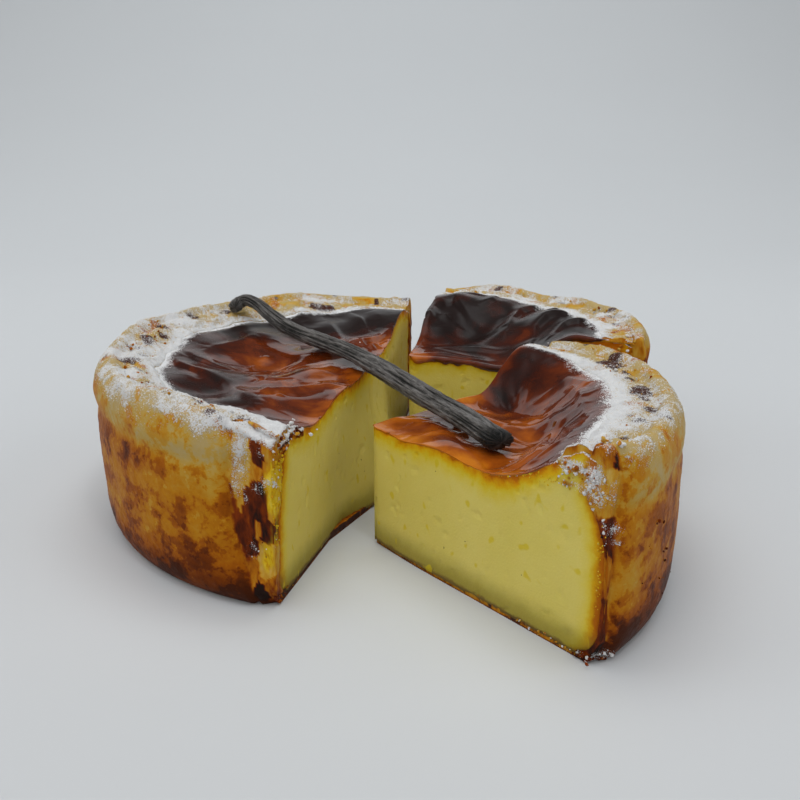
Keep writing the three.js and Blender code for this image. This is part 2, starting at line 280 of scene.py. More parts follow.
# Each slice's folds: a path of (x, y) points, its width to the left and to the right, and its height.
# A fold fades out at both ends of its path.
FOLDS = {
    "half": [
        ([(-68, -2), (-64, -9), (-53, -18), (-45.9, -25.3), (-38, -40), (-34, -47)], 5.0, 1.3, 1.5),
        ([(-66, 6), (-60, -2), (-52, -6), (-44, -8)], 4.0, 1.2, 0.9),
        ([(-40, -14), (-36.5, -18), (-34.7, -21), (-31, -21.5), (-26, -18)], 1.0, 1.0, -1.1),
        ([(-36.5, -24), (-34.7, -20.9), (-33.5, -15)], 0.9, 0.9, -0.8),
        ([(-35, -38), (-30, -33), (-25, -30), (-20, -25), (-14, -22)], 1.3, 2.6, 1.3),
        ([(-33, -41), (-28, -36), (-22, -34), (-15, -29)], 0.9, 0.9, -0.9),
        ([(-19, -20), (-13, -21), (-7, -25), (-8, -35), (-13, -43)], 2.6, 3.0, 0.7),
        ([(-9, 23), (-5, 25), (-1, 30), (3, 38), (7, 48)], 7.0, 1.1, 2.6),
        ([(-12, 34), (-16, 45), (-20, 56)], 5.0, 2.0, 1.1),
        ([(-2, 42), (-6, 56), (-12, 66)], 3.0, 1.4, 1.0),
        ([(-60, 30), (-52, 40), (-44, 50), (-36, 58)], 2.0, 3.0, 1.0),
        ([(-58, 10), (-50, 22), (-44, 34)], 1.6, 4.0, 0.8),
        ([(-30, 0), (-24, 6), (-22, 14)], 3.0, 1.2, 0.7),
        ([(-50, -2), (-44, 2), (-40, 8)], 1.2, 3.5, 0.7),
    ],
    "front": [
        ([(51, -17), (47, -20), (42, -28), (36, -37), (32, -42)], 1.0, 1.0, -1.0),
        ([(47, -24), (42, -31), (38, -36)], 0.8, 0.8, -0.7),
        ([(52, -21), (49, -24), (46, -27)], 1.6, 0.9, -0.8),
        ([(44, -14), (40, -16), (37, -20)], 0.9, 0.9, -0.6),
        ([(10, -3), (12, -9), (8, -20), (1, -28), (-3.4, -33.7), (-8, -41)], 3.2, 6.0, 1.1),
        ([(20, -53), (12, -54), (4, -58), (-3, -59), (-8, -56), (-12, -52)], 1.1, 1.1, -1.5),
        ([(22, -50), (12, -51), (4, -54), (-3, -55.5), (-8, -52)], 1.8, 1.6, 1.0),
        ([(6, -62), (0, -62.5), (-6, -60.5), (-11, -57)], 1.6, 1.4, 1.1),
        ([(30, -46), (24, -50), (20, -53)], 2.0, 1.1, 1.0),
        ([(36, -52), (30, -54), (24, -58), (18, -62)], 1.6, 1.0, 1.1),
        ([(44, -44), (38, -49), (32, -54)], 1.8, 1.1, 0.9),
        ([(50, -40), (46, -46), (40, -53)], 1.2, 1.6, 0.9),
        ([(30, -18), (26, -26), (24, -34)], 3.5, 2.5, 0.7),
        ([(14, -36), (12, -42), (14, -48)], 2.5, 3.5, 0.8),
    ],
    "back": [
        ([(6, 22), (8, 33), (11, 45), (15, 52), (20.9, 54), (23.5, 47), (27, 38), (33, 30), (38, 24)],
         7.5, 2.0, 2.8),
        ([(8.5, 27), (14, 30), (20, 34), (25, 32)], 1.5, 2.0, 0.9),
        ([(40, 20), (43, 30), (47, 37), (53.9, 40.4), (62, 40)], 5.0, 1.6, 2.2),
        ([(48, 4), (50, 14), (55, 20), (62, 24), (68, 25)], 4.5, 1.4, 2.3),
        ([(54, -2), (60, 6), (66, 8), (70, 3), (71, -6)], 4.0, 1.3, 2.2),
        ([(56, 28), (62, 31), (68, 32)], 3.0, 1.3, 1.1),
        ([(3, 3), (12, 1), (22, -1.5), (32, -4)], 3.2, 1.4, 0.9),
        ([(8, 14), (16, 11), (26, 9), (34, 5), (42, 4)], 3.5, 1.6, 1.0),
        ([(30, 44), (36, 50), (40, 58)], 3.0, 1.5, 1.1),
        ([(18, 60), (30, 60), (42, 54)], 3.5, 2.0, 0.8),
    ],
}
# Small blisters: x, y, size, height.
BLISTERS = {
    "half": [(-38.5, 11.5, 2.6, 1.1), (-20, 23, 1.6, 1.0), (-0.6, 23.4, 1.5, 1.6), (1.0, 26.4, 1.8, 1.4),
             (-3.6, 24.4, 1.3, 1.1), (-7, -5, 2.0, 0.8), (-33, -3, 2.4, 0.7), (-27, -36, 1.6, 0.8)],
    "front": [(55, -22, 2.5, 0.5), (38, -20, 1.8, 0.6), (30, -34, 2.2, 0.5)],
    "back": [(16, 38, 2.2, 1.2), (9.5, 36, 1.6, 1.0), (42, 36, 3.0, -0.8)],
}
# Lighter (negative) and darker (positive) patches of the skin: x, y, size, amount.
PATCHES = {
    "half": [(-18, 62, 24, 0.45), (-50, 50, 15, 0.3), (-20, -50, 12, -0.3),
             (-47, 16, 11, -0.14), (-8, -28, 12, -0.02), (-38.5, 11.5, 2.4, -0.3), (-34, -20, 4, -0.1),
             (8, 70, 20, 0.3), (-36, -46, 7, 0.2)],
    "front": [(58, -19, 9, 0.42), (0, -48, 8, -0.16), (30, -40, 8, -0.12), (24, -50, 7, 0.12),
              (48, -22, 7, 0.10), (-8, -58, 7, -0.2), (56, -34, 9, -0.04), (8, -14, 9, 0.05)],
    "back": [(44, 10, 6, -0.34), (3, 1, 6, -0.40), (20, 1, 5, -0.22), (36, -2, 5, -0.15), (14, 42, 9, 0.2)],
}
# How dark the skin is at the point, how much darker it gets, and the radii between which it does.
TONES = {"half": (0.53, 0.32, 30.0, 68.0), "front": (0.33, 0.32, 32.0, 68.0), "back": (0.70, 0.25, 4.0, 30.0)}
# How much more amber the skin is along a cut, how high its sharp creases stand, and how high and how
# wide its broad ripples are.
EDGE_GLOW = {"half": 0.45, "front": 0.8, "back": 0.6}
CREASES = {"half": 0.18, "front": 0.30, "back": 0.06}
RIPPLES = {"half": (0.55, 10.0), "front": (0.6, 8.0), "back": (0.4, 13.0)}


def skin_height(name, x, y):
    """The top of the glazed skin, with its wrinkles."""
    piece = SLICES[name]
    seed = seed_of(name, 3, 5)
    radius = np.hypot(x, y)
    height = top_height(piece, x, y)
    inner = 1.0 - smooth(radius, 68.0, 73.0)
    deep, size = RIPPLES[name]
    ridges = 1.0 - np.abs(noise(x + 0.4 * y, 0.7 * y, 0.0, size, seed + 1))
    wrinkle = 0.42 * rough(x, y, 0.0, 15.0, 2, seed) + deep * ridges * noise(x, y, 0.0, 17.0, seed + 2)
    crease = (1.0 - np.abs(noise(0.8 * x + 0.5 * y, 0.8 * y - 0.3 * x, 0.0, 5.0, seed + 3))) ** 3
    crease = crease * noise(x, y, 0.0, 11.0, seed + 4)
    wrinkle = wrinkle + CREASES[name] * crease * (0.5 + smooth(radius, 25.0, 60.0))
    height = height + inner * wrinkle * smooth(radius, 2.0, 14.0)
    for path, left, right, lift in FOLDS[name]:
        away, share, side = along_path(x, y, path)
        fade = np.sin(np.pi * np.clip(share, 0.05, 0.95)) ** 0.7
        height = height + inner * lift * fade * hill(away, np.where(side > 0, left, right))
    for at_x, at_y, size, lift in BLISTERS[name]:
        height = height + lift * hill(np.hypot(x - at_x, y - at_y), size)
    sunk = 1.2 * smooth(radius, 73.5, 76.0) + 1.9 * smooth(radius, 79.0, 83.0)
    return height - sunk


def skin_char(name, x, y):
    """How dark the skin has baked, from 0, amber, to 1, nearly black."""
    seed = seed_of(name, 11, 7)
    base, gain, low, high = TONES[name]
    radius = np.hypot(x, y)
    dark = base + gain * smooth(radius, low, high)
    dark = dark + 0.20 * rough(x, y, 0.0, 16.0, 3, seed)
    for at_x, at_y, size, amount in PATCHES[name]:
        dark = dark + amount * hill(np.hypot(x - at_x, y - at_y), size)
    return dark


# ---- Meshes ------------------------------------------------------------------------------------------


class Body:
    """Grids of vertices, joined where their edges meet, with painted values at each vertex."""

    def __init__(self, name, values):
        self.name, self.values = name, values
        self.spots, self.faces, self.slots, self.count = [], [], [], 0
        self.painted = {value: [] for value in values}

    def vertices(self, spots, **painted):
        spots = np.asarray(spots, float).reshape(-1, 3)
        index = np.arange(self.count, self.count + len(spots))
        self.spots.append(spots)
        for value in self.values:
            given = painted.get(value, 0.0)
            self.painted[value].append(np.broadcast_to(np.ravel(given), (len(spots),)).astype(float)
                                       if np.size(given) > 1 else np.full(len(spots), float(given)))
        self.count += len(spots)
        return index

    def grid(self, spots, slot=0, flip=False, **painted):
        """A sheet of quads from a (rows, columns, 3) array."""
        rows, columns = np.shape(spots)[:2]
        index = self.vertices(spots, **painted).reshape(rows, columns)
        corners = [index[:-1, :-1], index[:-1, 1:], index[1:, 1:], index[1:, :-1]]
        if flip:
            corners.reverse()
        quads = np.stack(corners, -1).reshape(-1, 4)
        self.faces.append(quads)
        self.slots.append(np.full(len(quads), slot))
        return index

    def at(self, index):
        """The places of some of the vertices."""
        return np.concatenate(self.spots)[index]

    def add(self, ring):
        """One face round a ring of vertices, in the first material."""
        self.faces.append(list(ring))
        self.slots.append(np.array([0]))

    def strip(self, fine, coarse, every, flip=False, ends=((), ())):
        """Joins a finely stepped edge to one that has every so-many-th of its steps.

        The ends are the vertices that lie between the two edges where the strip starts and stops.
        """
        last = len(coarse) - 2
        for k in range(last + 1):
            low, high = k * every, min((k + 1) * every, len(fine) - 1)
            ring = list(fine[low:high + 1]) + (list(ends[1]) if k == last else [])
            ring += [coarse[k + 1], coarse[k]] + (list(ends[0])[::-1] if k == 0 else [])
            self.add(ring[::-1] if flip else ring)

    def finish(self, materials):
        """The merged mesh as an object, in metres."""
        spots = np.concatenate(self.spots)
        keys = np.round(spots, 3) + 0.0
        _, first, merged = np.unique(keys, axis=0, return_index=True, return_inverse=True)
        merged = merged.reshape(-1)
        loops, starts, slots, total = [], [], [], 0
        for faces, slot in zip(self.faces, self.slots):
            if isinstance(faces, list):
                ring = merged[np.array(faces)]
                keep = ring != np.roll(ring, 1)
                ring = ring[keep]
                if len(ring) > 2:
                    loops.append(ring)
                    starts.append(np.array([total]))
                    slots.append(slot)
                    total += len(ring)
                continue
            quads = merged[faces]
            same = quads == np.roll(quads, 1, axis=1)
            whole = ~same.any(axis=1)
            loops.append(quads[whole].ravel())
            starts.append(total + 4 * np.arange(whole.sum()))
            slots.append(slot[whole])
            total += 4 * int(whole.sum())
            for quad, flag, one in zip(quads[~whole], same[~whole], slot[~whole]):
                ring = quad[~flag]
                if len(set(ring.tolist())) > 2:
                    loops.append(ring)
                    starts.append(np.array([total]))
                    slots.append(np.array([one]))
                    total += len(ring)
        loops, starts = np.concatenate(loops), np.concatenate(starts)
        mesh = bpy.data.meshes.new(self.name)
        mesh.vertices.add(len(first))
        mesh.vertices.foreach_set("co", (spots[first] * MM).ravel())
        mesh.loops.add(len(loops))
        mesh.loops.foreach_set("vertex_index", loops.astype(np.int32))
        mesh.polygons.add(len(starts))
        mesh.polygons.foreach_set("loop_start", starts.astype(np.int32))
        mesh.polygons.foreach_set("material_index", np.concatenate(slots).astype(np.int32))
        for value in self.values:
            layer = mesh.attributes.new(value, "FLOAT", "POINT")
            layer.data.foreach_set("value", np.concatenate(self.painted[value])[first])
        for material in materials:
            mesh.materials.append(material)
        mesh.update(calc_edges=True)
        mesh.validate()
        mesh.polygons.foreach_set("use_smooth", np.ones(len(mesh.polygons), bool))
        piece = bpy.data.objects.new(self.name, mesh)
        bpy.context.scene.collection.objects.link(piece)
        return piece


def steps_between(low, high, step):
    return np.linspace(low, high, max(2, int(round((high - low) / step)) + 1))


# ---- Custard ------------------------------------------------------------------------------------------


def cut_direction(piece, end):
    """Along the cut, and out of the slice across it, as angles in the whole flan."""
    angle = piece["cuts"][end]
    return angle, angle - 90.0 if end == 0 else angle + 90.0


def cut_wobble(name, end, along, height):
    """How far the cut face stands out of its plane: drag marks of the knife and small pits."""
    seed = seed_of(name, 40, 3) + end
    slow = 0.35 * noise(along, height, 0.0, 26.0, seed)
    drags = 0.10 * noise(along, 0.12 * height, 0.0, 3.2, seed + 1)
    pits = rough(along, height, 0.0, 2.6, 2, seed + 2)
    pits = -0.35 * smooth(pits, 0.48, 0.62)
    rounded = -1.1 * hill(along, 1.3)
    spill = spilt(name, end, along, height)
    spill = spill * (0.75 + 0.6 * rough(along, height, 0.0, 1.8, 2, seed + 3))
    return slow + drags + pits * (1.0 - spill) + rounded + spill


def on_cut(name, end, along, out):
    """A spot at a distance along a cut, moved out of the cut's face."""
    piece = SLICES[name]
    angle, across = cut_direction(piece, end)
    x, y = polar(along, angle)
    dx, dy = polar(1.0, across)
    return x + out * dx, y + out * dy


def cut_glow(name, end, along):
    """How much deeper the baked layer under the skin reaches at a spot along the cut."""
    if (name, end) == ("front", 0):
        return 2.6 * hill(along - 53.0, 7.0) + 1.0 * hill(along - 72.0, 8.0) - 0.5
    deeper = 4.0 if name == "back" else 1.2
    return 0.7 * noise(along, 0.0, 0.0, 17.0, 70 + end) + deeper * smooth(along, 50.0, 76.0) - 0.2


# How far the inside of the crust steps out, or in, beside a cut: heights and distances.
LINING_STEPS = {
    ("half", 1): ([4.0, 12.7, 19.2, 25.7, 31.8, 37.5, 42.0, 46.0],
                  [0.0, -0.9, -1.6, -2.3, -3.8, -5.6, -5.2, -3.5]),
    ("front", 0): ([2.0, 4.0, 8.0, 18.0, 26.0, 31.0, 36.0, 40.0, 44.0],
                   [1.5, 2.4, 2.6, 2.9, 3.0, 2.9, 1.9, 0.4, 0.0]),
}
# Crust that has slipped down a cut, and sugar on it: distance along, height, half sizes, amount.
SPILLS = {
    ("half", 1): [(72.5, 47.2, 3.6, 1.7, 1.0), (68.4, 45.0, 2.6, 1.6, 1.0), (77.5, 45.4, 3.0, 1.7, 0.9),
                  (65.6, 43.4, 1.5, 1.2, 0.8), (81.0, 42.6, 2.6, 2.2, 0.8)],
    ("front", 0): [(77.6, 49.6, 4.2, 1.2, 1.0), (81.6, 46.4, 3.0, 2.0, 0.9), (76.2, 45.4, 2.6, 1.0, 0.6),
                   (84.0, 42.8, 1.8, 2.2, 0.8)],
    ("back", 0): [(76.0, 47.0, 4.0, 2.4, 0.8)],
}
CUT_SUGAR = {
    ("half", 1): [(74.0, 48.8, 3.4, 1.0, 0.95), (70.4, 46.6, 1.6, 0.9, 0.45), (85.5, 47.8, 2.4, 1.3, 1.0),
                  (79.0, 45.8, 2.0, 0.8, 0.5), (85.4, 36.4, 1.3, 1.0, 0.8), (82.6, 31.0, 0.9, 0.8, 0.5)],
    ("front", 0): [(78.0, 50.6, 4.6, 1.0, 1.0), (83.6, 48.6, 1.8, 3.2, 0.85), (74.6, 48.9, 1.6, 0.7, 0.8),
                   (79.8, 45.6, 2.4, 0.6, 0.7), (85.4, 44.4, 1.6, 1.6, 0.5), (87.4, 38.6, 1.2, 1.0, 0.6),
                   (88.6, 35.4, 1.2, 1.2, 0.5), (89.0, 2.0, 2.6, 1.2, 0.5)],
}


def lining_step(name, angle, height):
    """How far the inside of the crust steps out beside a cut."""
    total = 0.0 * angle + 0.0 * height
    for (whose, end), (heights, steps) in LINING_STEPS.items():
        if whose == name:
            away = np.abs(angle - SLICES[name]["cuts"][end])
            total = total + np.interp(height, heights, steps) * (1.0 - smooth(away, 0.8, 3.5))
    return total


def daubed(marks, along, height):
    """The value of a list of soft marks at each spot of a cut."""
    total = 0.0 * along + 0.0 * height
    for at, up, wide, tall, amount in marks:
        total = total + amount * np.exp(-((along - at) / wide) ** 2 - ((height - up) / tall) ** 2)
    return np.minimum(total, 1.1)


def spilt(name, end, along, height):
    """Where crust has slipped down over a cut, from 0 to 1, with a ragged edge."""
    soft = daubed(SPILLS.get((name, end), []), along, height)
    return smooth(soft + 0.35 * rough(along, height, 0.0, 2.4, 3, 77 + end), 0.36, 0.62) * (soft > 0.05)


def skin_lap(name, end, along):
    """How far the skin hangs over the edge of a cut."""
    seed = seed_of(name, 60, 3) + end
    ragged = 1.0 + 0.45 * noise(along, 0.0, 0.0, 9.0, seed) + 0.25 * noise(along, 0.0, 0.0, 2.4, seed)
    rolled = 1.5 if (name, end) == ("back", 0) else 0.24
    lap = rolled * ragged * (1.0 - smooth(along, 66.0, 74.0)) * smooth(along, 0.0, 3.0)
    return np.where(lap < LEAST_LAP, 0.0, lap)


# The rolled edge of the skin over a cut: how far out and how far down, as shares of its lap.
LAP = [(0.0, 0.0), (0.30, 0.05), (0.62, 0.28), (0.78, 0.72), (0.74, 1.2), (0.5, 1.62), (0.15, 1.8),
       (0.0, 1.82)]
SIDE_STEP = 8           # one column of the hidden side to so many of the top
CUT_CHAR = {"half": 0.8, "front": 0.3, "back": 0.5}     # how dark the crust that slipped down a cut is


def make_custard(name, materials):
    piece = SLICES[name]
    body = Body("custard_" + name + "_body", ["char", "sugar", "under", "rind", "edge", "low", "spill"])
    low, high = piece["cuts"]
    radii = np.concatenate([[0.0], steps_between(0.6, SKIN_EDGE + TUCK, FINE_STEP),
                            [76.0, 77.5, 79.5, 81.5, CUSTARD_REACH]])
    count = int(round(math.radians(high - low) * EVEN_RADIUS / FINE_STEP / SIDE_STEP)) * SIDE_STEP
    angles = np.linspace(low, high, count + 1)
    radius, angle = np.meshgrid(radii, angles, indexing="ij")
    x, y = polar(radius, angle)
    z = skin_height(name, x, y)
    edge_gap = np.minimum(angle - low, high - angle)
    edge_away = radius * np.sin(np.radians(np.clip(edge_gap, 0.0, 90.0)))
    # The first and last columns carry the wobble of the cut faces.
    top_x, top_y = x.copy(), y.copy()
    for end, column in CUT_ENDS:
        out = cut_wobble(name, end, radii, z[:, column])
        top_x[:, column], top_y[:, column] = on_cut(name, end, radii, out)
    meet = (top_x[0, 0] + top_x[0, -1]) / 2, (top_y[0, 0] + top_y[0, -1]) / 2
    top_x[0, :], top_y[0, :] = meet
    z[0, :] = z[0, 0]
    char = skin_char(name, x, y)
    sugar = 1.1 * smooth(radius, rim_edge(name, angle) - 6.0, rim_edge(name, angle) + 0.8) ** 2.2
    sugar = sugar * (0.85 + 0.5 * noise(x, y, 0.0, 5.0, 33))
    top = body.grid(placed(piece, top_x, top_y, z), 1, flip=True,
                    char=char, edge=EDGE_GLOW[name] * hill(edge_away, 4.0), sugar=sugar)
    # Cut faces, each under the lap of the skin.
    floor = FLOOR_THICKNESS - 0.9
    rows = np.concatenate([np.linspace(0.0, 0.82, 44), np.linspace(0.84, 1.0, 20)])
    columns = {}
    for end, column in CUT_ENDS:
        edge_z = z[:, column]
        lap = skin_lap(name, end, radii)
        hang = []
        for out, down in LAP:
            height = edge_z - lap * down
            base = cut_wobble(name, end, radii, height)
            px, py = on_cut(name, end, radii, base + lap * out)
            hang.append([px, py, height])
        hang[0] = [top_x[:, column], top_y[:, column], edge_z]
        for px, py, _ in hang:
            px[0], py[0] = meet
        sheet = np.stack([placed(piece, *row) for row in hang])
        body.grid(sheet, 1, flip=(end == 0), char=char[:, column][None, :].repeat(len(LAP), 0),
                  edge=EDGE_GLOW[name])
        under = hang[-1][2]
        # Rows go up from the floor to the lap; columns run out from the point to the lining.
        share = radii / radii[-1]
        cut_z = floor + (under[None, :] - floor) * rows[:, None]
        lining = lining_radius(cut_z) + lining_step(name, piece["cuts"][end], cut_z)
        cut_s = share[None, :] * mix(lining + BITE, CUSTARD_REACH, rows[:, None] ** 5)
        out = cut_wobble(name, end, cut_s, cut_z) - 0.5 * smooth(cut_s, lining - 0.5, lining + 0.4)
        ragged_foot = 1.0 - smooth(rows[:, None], 0.0, 0.03)
        cut_z = cut_z + ragged_foot * 0.45 * rough(cut_s, 0.0, 0.0, 5.0, 3, 71 + end) * (share > 0.02)
        px, py = on_cut(name, end, cut_s, out)
        px[-1], py[-1] = hang[-1][0], hang[-1][1]
        px[:, 0], py[:, 0] = meet
        cut_z[-1] = hang[-1][2]
        rind = np.minimum(lining - 1.5 * smooth(cut_z, 36.0, 44.0) - cut_s, 60.0)
        depth = top_height(piece, *polar(cut_s, piece["cuts"][end])) - cut_z
        depth = depth - cut_glow(name, end, cut_s)
        dust = daubed(CUT_SUGAR.get((name, end), []), cut_s, cut_z)
        columns[end] = body.grid(placed(piece, px, py, cut_z), 0, flip=(end == 1), under=depth, rind=rind,
                                 low=cut_z - FLOOR_THICKNESS, char=CUT_CHAR[name], sugar=dust,
                                 spill=spilt(name, end, cut_s, cut_z))
    # The hidden side, with one column to several of the top's, and the underside.
    first, last = columns[0], columns[1]
    few = angles[::SIDE_STEP]
    under = z[-1, ::SIDE_STEP] - 0.3
    side_z = floor + (under[None, :] - floor) * rows[:, None]
    side_r = mix(lining_radius(side_z) + BITE, CUSTARD_REACH, rows[:, None] ** 5)
    spots = placed(piece, *polar(side_r, few[None, :]), side_z)
    spots[:, 0], spots[:, -1] = body.at(first[:, -1]), body.at(last[:, -1])
    side = body.grid(spots, 0, under=20.0)
    body.strip(top[-1, :], side[-1, :], SIDE_STEP, flip=True)
    body.add(list(first[0, ::-1]) + list(last[0, 1:]) + list(side[0, 1:-1][::-1]))
    return body.finish(materials)


# ---- Pastry -------------------------------------------------------------------------------------------


def spread(controls, ways):
    """Points along rows of controls (angles, controls, 2) at places ways on a smooth curve."""
    count = controls.shape[1]
    low = np.clip(np.floor(ways).astype(int), 0, count - 2)
    t = (ways - low)[None, :, None]
    before = controls[:, np.maximum(low - 1, 0)]
    here, there = controls[:, low], controls[:, low + 1]
    after = controls[:, np.minimum(low + 2, count - 1)]
    return 0.5 * (2 * here + (there - before) * t + (2 * before - 5 * here + 4 * there - after) * t ** 2
                  + (3 * here - before - 3 * there + after) * t ** 3)


# Charred spots on the rim: angle, radius, size.
CHAR_SPOTS = {
    "half": [
        (175.4, 79.7, 2.0), (178.5, 77.5, 1.4), (183.3, 81.0, 1.6), (196.7, 81.3, 1.9), (194.0, 78.0, 1.3),
        (225.2, 82.8, 1.5), (242.2, 85.5, 1.6), (105.4, 73.2, 1.6), (108.7, 73.4, 1.6), (111.0, 74.0, 1.2),
        (246.3, 79.8, 1.7), (247.3, 72.5, 1.3), (188.0, 76.0, 1.5), (150.0, 81.0, 1.8), (203.0, 78.0, 1.3),
        (233.0, 77.0, 1.3), (170.0, 76.0, 1.4), (165.0, 80.0, 1.6), (212.0, 76.0, 1.2),
    ],
    "front": [
        (320.2, 80.2, 2.0), (323.0, 83.4, 1.6), (317.0, 79.0, 1.7), (322.0, 78.0, 1.2), (297.6, 77.5, 1.8),
        (293.0, 79.0, 1.3), (277.0, 79.6, 1.6), (286.0, 80.5, 1.5), (300.0, 80.0, 1.4), (268.0, 79.0, 1.4),
        (281.0, 76.0, 1.2), (307.0, 78.5, 1.4), (312.0, 80.0, 1.4),
    ],
    "back": [(40.5, 86.0, 1.3), (14.2, 85.0, 1.6), (10.0, 81.0, 1.5), (60.0, 83.0, 1.4), (2.0, 79.0, 1.4)],
}
# Marks of baking down the wall: angle, height, half its width and half its height, amount.
WALL_MARKS = {
    "half": [(228.0, 7.0, 24.0, 6.0, 0.07), (240.0, 12.0, 9.0, 7.0, 0.06), (222.0, 38.0, 16.0, 5.0, 0.12),
             (236.0, 40.0, 6.0, 5.0, -0.20), (243.5, 40.0, 3.5, 10.0, -0.22), (215.0, 30.0, 12.0, 9.0, 0.06)],
    "front": [(266.0, 8.0, 17.0, 9.0, 0.20), (280.0, 8.0, 14.0, 7.0, 0.12), (266.0, 44.0, 8.0, 9.0, -0.14),
              (272.0, 36.0, 3.4, 4.0, 0.16), (263.0, 33.0, 3.0, 3.4, 0.08), (262.0, 24.0, 7.0, 5.0, -0.06)],
    "back": [(-8.0, 42.0, 5.0, 6.0, 0.34)],
}
# Sugar fallen on the wall, the same way.
SUGAR_MARKS = {
    "half": [(248.4, 47.0, 2.0, 3.6, 0.75), (248.0, 40.5, 1.9, 4.6, 0.52), (247.4, 35.0, 1.6, 2.6, 0.36),
             (251.4, 49.6, 3.0, 1.1, 0.85), (253.8, 48.0, 1.4, 1.0, 0.6), (252.2, 44.8, 0.9, 1.0, 0.45),
             (251.6, 34.8, 1.8, 1.4, 0.34), (250.2, 17.6, 1.4, 2.4, 0.34), (249.2, 31.4, 0.6, 1.0, 0.6),
             (253.4, 37.2, 1.6, 1.2, 0.6), (243.0, 51.0, 7.0, 2.5, 0.25), (222.0, 50.0, 16.0, 3.0, 0.22)],
    "front": [(256.4, 1.6, 3.4, 1.6, 0.6), (255.4, 46.0, 1.8, 2.6, 0.4), (256.0, 36.6, 1.8, 1.4, 0.5),
              (256.6, 33.4, 1.0, 1.0, 0.5), (262.0, 53.0, 7.0, 3.0, 0.2)],
    "back": [(0.0, 50.0, 8.0, 4.0, 0.3)],
}
# Where the outer layer of the wall has cracked away: the crack's angle at each height.
CRACKS = {
    "half": ([0.0, 4.0, 10.4, 16.6, 26.5, 33.1, 39.6, 46.0, 50.9],
             [250.4, 250.0, 249.1, 247.5, 246.6, 246.1, 245.9, 246.3, 245.6]),
    "front": ([0.0, 8.0, 18.0, 28.0, 36.0, 48.0, 56.0], [256.6, 256.2, 256.4, 256.9, 256.3, 256.9, 257.4]),
    "back": ([0.0, 20.0, 40.0, 52.0], [-11.6, -11.0, -9.4, -9.0]),
}
# What shows beyond the crack: angle, height, half its width and half its height (mm), darkness.
# Around 0.2 is pale pastry, 0.5 orange brown, 0.8 dark red brown and 1.1 nearly black.
BARE_MARKS = {
    "half": [(246.3, 50.0, 1.2, 2.6, 0.55), (248.4, 46.5, 2.4, 4.4, 0.22), (248.0, 38.0, 2.4, 5.0, 0.26),
             (251.6, 49.0, 3.0, 1.4, 0.62), (250.9, 46.6, 1.8, 1.6, 0.85), (251.6, 43.4, 1.6, 2.4, 0.90),
             (253.6, 43.0, 1.4, 5.0, 0.42), (251.0, 39.2, 1.8, 1.8, 0.42), (246.6, 31.0, 0.7, 4.4, 0.66),
             (247.9, 31.4, 0.9, 3.6, 0.40), (249.4, 33.2, 0.9, 2.0, 0.84), (251.5, 31.0, 2.7, 4.8, 0.86),
             (247.4, 23.5, 1.0, 7.0, 0.74), (249.3, 24.0, 1.6, 7.6, 0.80), (251.4, 23.6, 1.0, 2.4, 0.42),
             (253.2, 22.0, 1.8, 3.2, 0.88), (250.2, 17.6, 1.4, 2.6, 0.92), (252.9, 14.8, 2.4, 4.8, 0.26),
             (249.7, 11.0, 1.9, 3.6, 0.56), (251.6, 4.0, 1.5, 3.0, 1.15), (253.6, 6.6, 1.4, 2.6, 0.55),
             (253.9, 34.0, 0.9, 7.0, 0.36)],
    "front": [(256.0, 44.6, 3.4, 4.0, 0.34), (256.2, 50.0, 3.0, 2.2, 0.24), (256.8, 52.8, 1.5, 2.2, 0.95),
              (256.0, 34.4, 3.4, 4.6, 0.86), (255.0, 25.0, 1.5, 5.6, 0.50), (256.8, 23.0, 0.9, 8.0, 0.78),
              (254.6, 13.6, 1.8, 5.6, 0.84), (256.1, 14.0, 0.7, 6.0, 0.40), (256.9, 12.0, 0.7, 5.0, 0.70),
              (255.4, 3.4, 3.6, 2.8, 1.05)],
    "back": [(-12.6, 49.0, 2.6, 3.0, 0.34), (-10.6, 46.0, 3.0, 3.0, 0.50), (-11.6, 41.0, 3.2, 4.0, 0.78),
             (-12.6, 34.0, 2.6, 4.0, 0.60), (-12.5, 22.0, 2.6, 10.0, 0.66), (-13.0, 8.0, 2.6, 6.0, 0.85)],
}
# Custard left on the broken crust, the same way: 1 is all yellow.
YELLOW_MARKS = {
    "half": [(254.1, 35.0, 1.6, 8.0, 1.1), (252.9, 14.8, 2.2, 4.8, 0.9), (254.0, 22.0, 0.8, 4.0, 0.4)],
    "front": [], "back": [],
}
# How dark the broken end of each crust's floor is.
FLOOR_CHAR = {"half": 0.9, "front": 0.55, "back": 0.6}
# How wide the thick sugar by the skin is, at angles round the slice.
BANDS = {
    "half": ([80.0, 140.0, 165.0, 200.0, 218.0, 238.0, 254.0], [1.2, 1.6, 3.2, 3.0, 4.0, 6.0, 9.5]),
    "front": ([254.0, 268.0, 290.0, 310.0, 330.0, 346.0], [10.0, 6.0, 5.6, 6.0, 3.8, 2.2]),
    "back": ([-14.0, 10.0, 30.0, 60.0, 78.0], [2.0, 2.6, 3.4, 2.0, 1.0]),
}
# How much sugar lies on the rest of the rim.
DUSTINGS = {
    "half": ([80.0, 150.0, 175.0, 215.0, 254.0], [0.16, 0.34, 0.60, 0.58, 0.60]),
    "front": ([254.0, 275.0, 300.0, 330.0, 346.0], [0.42, 0.36, 0.46, 0.34, 0.20]),
    "back": ([-14.0, 20.0, 50.0, 78.0], [0.30, 0.38, 0.28, 0.16]),
}


def marked(marks, angle, height, start=0.0):
    """The value of a list of soft marks at each spot of the wall."""
    total = start + 0 * height
    for at_angle, at_height, wide, tall, amount in marks:
        away = math.radians(1.0) * RIM_RADIUS * (angle - at_angle)
        total = total + amount * np.exp(-((away / wide) ** 2) - ((height - at_height) / tall) ** 2)
    return total


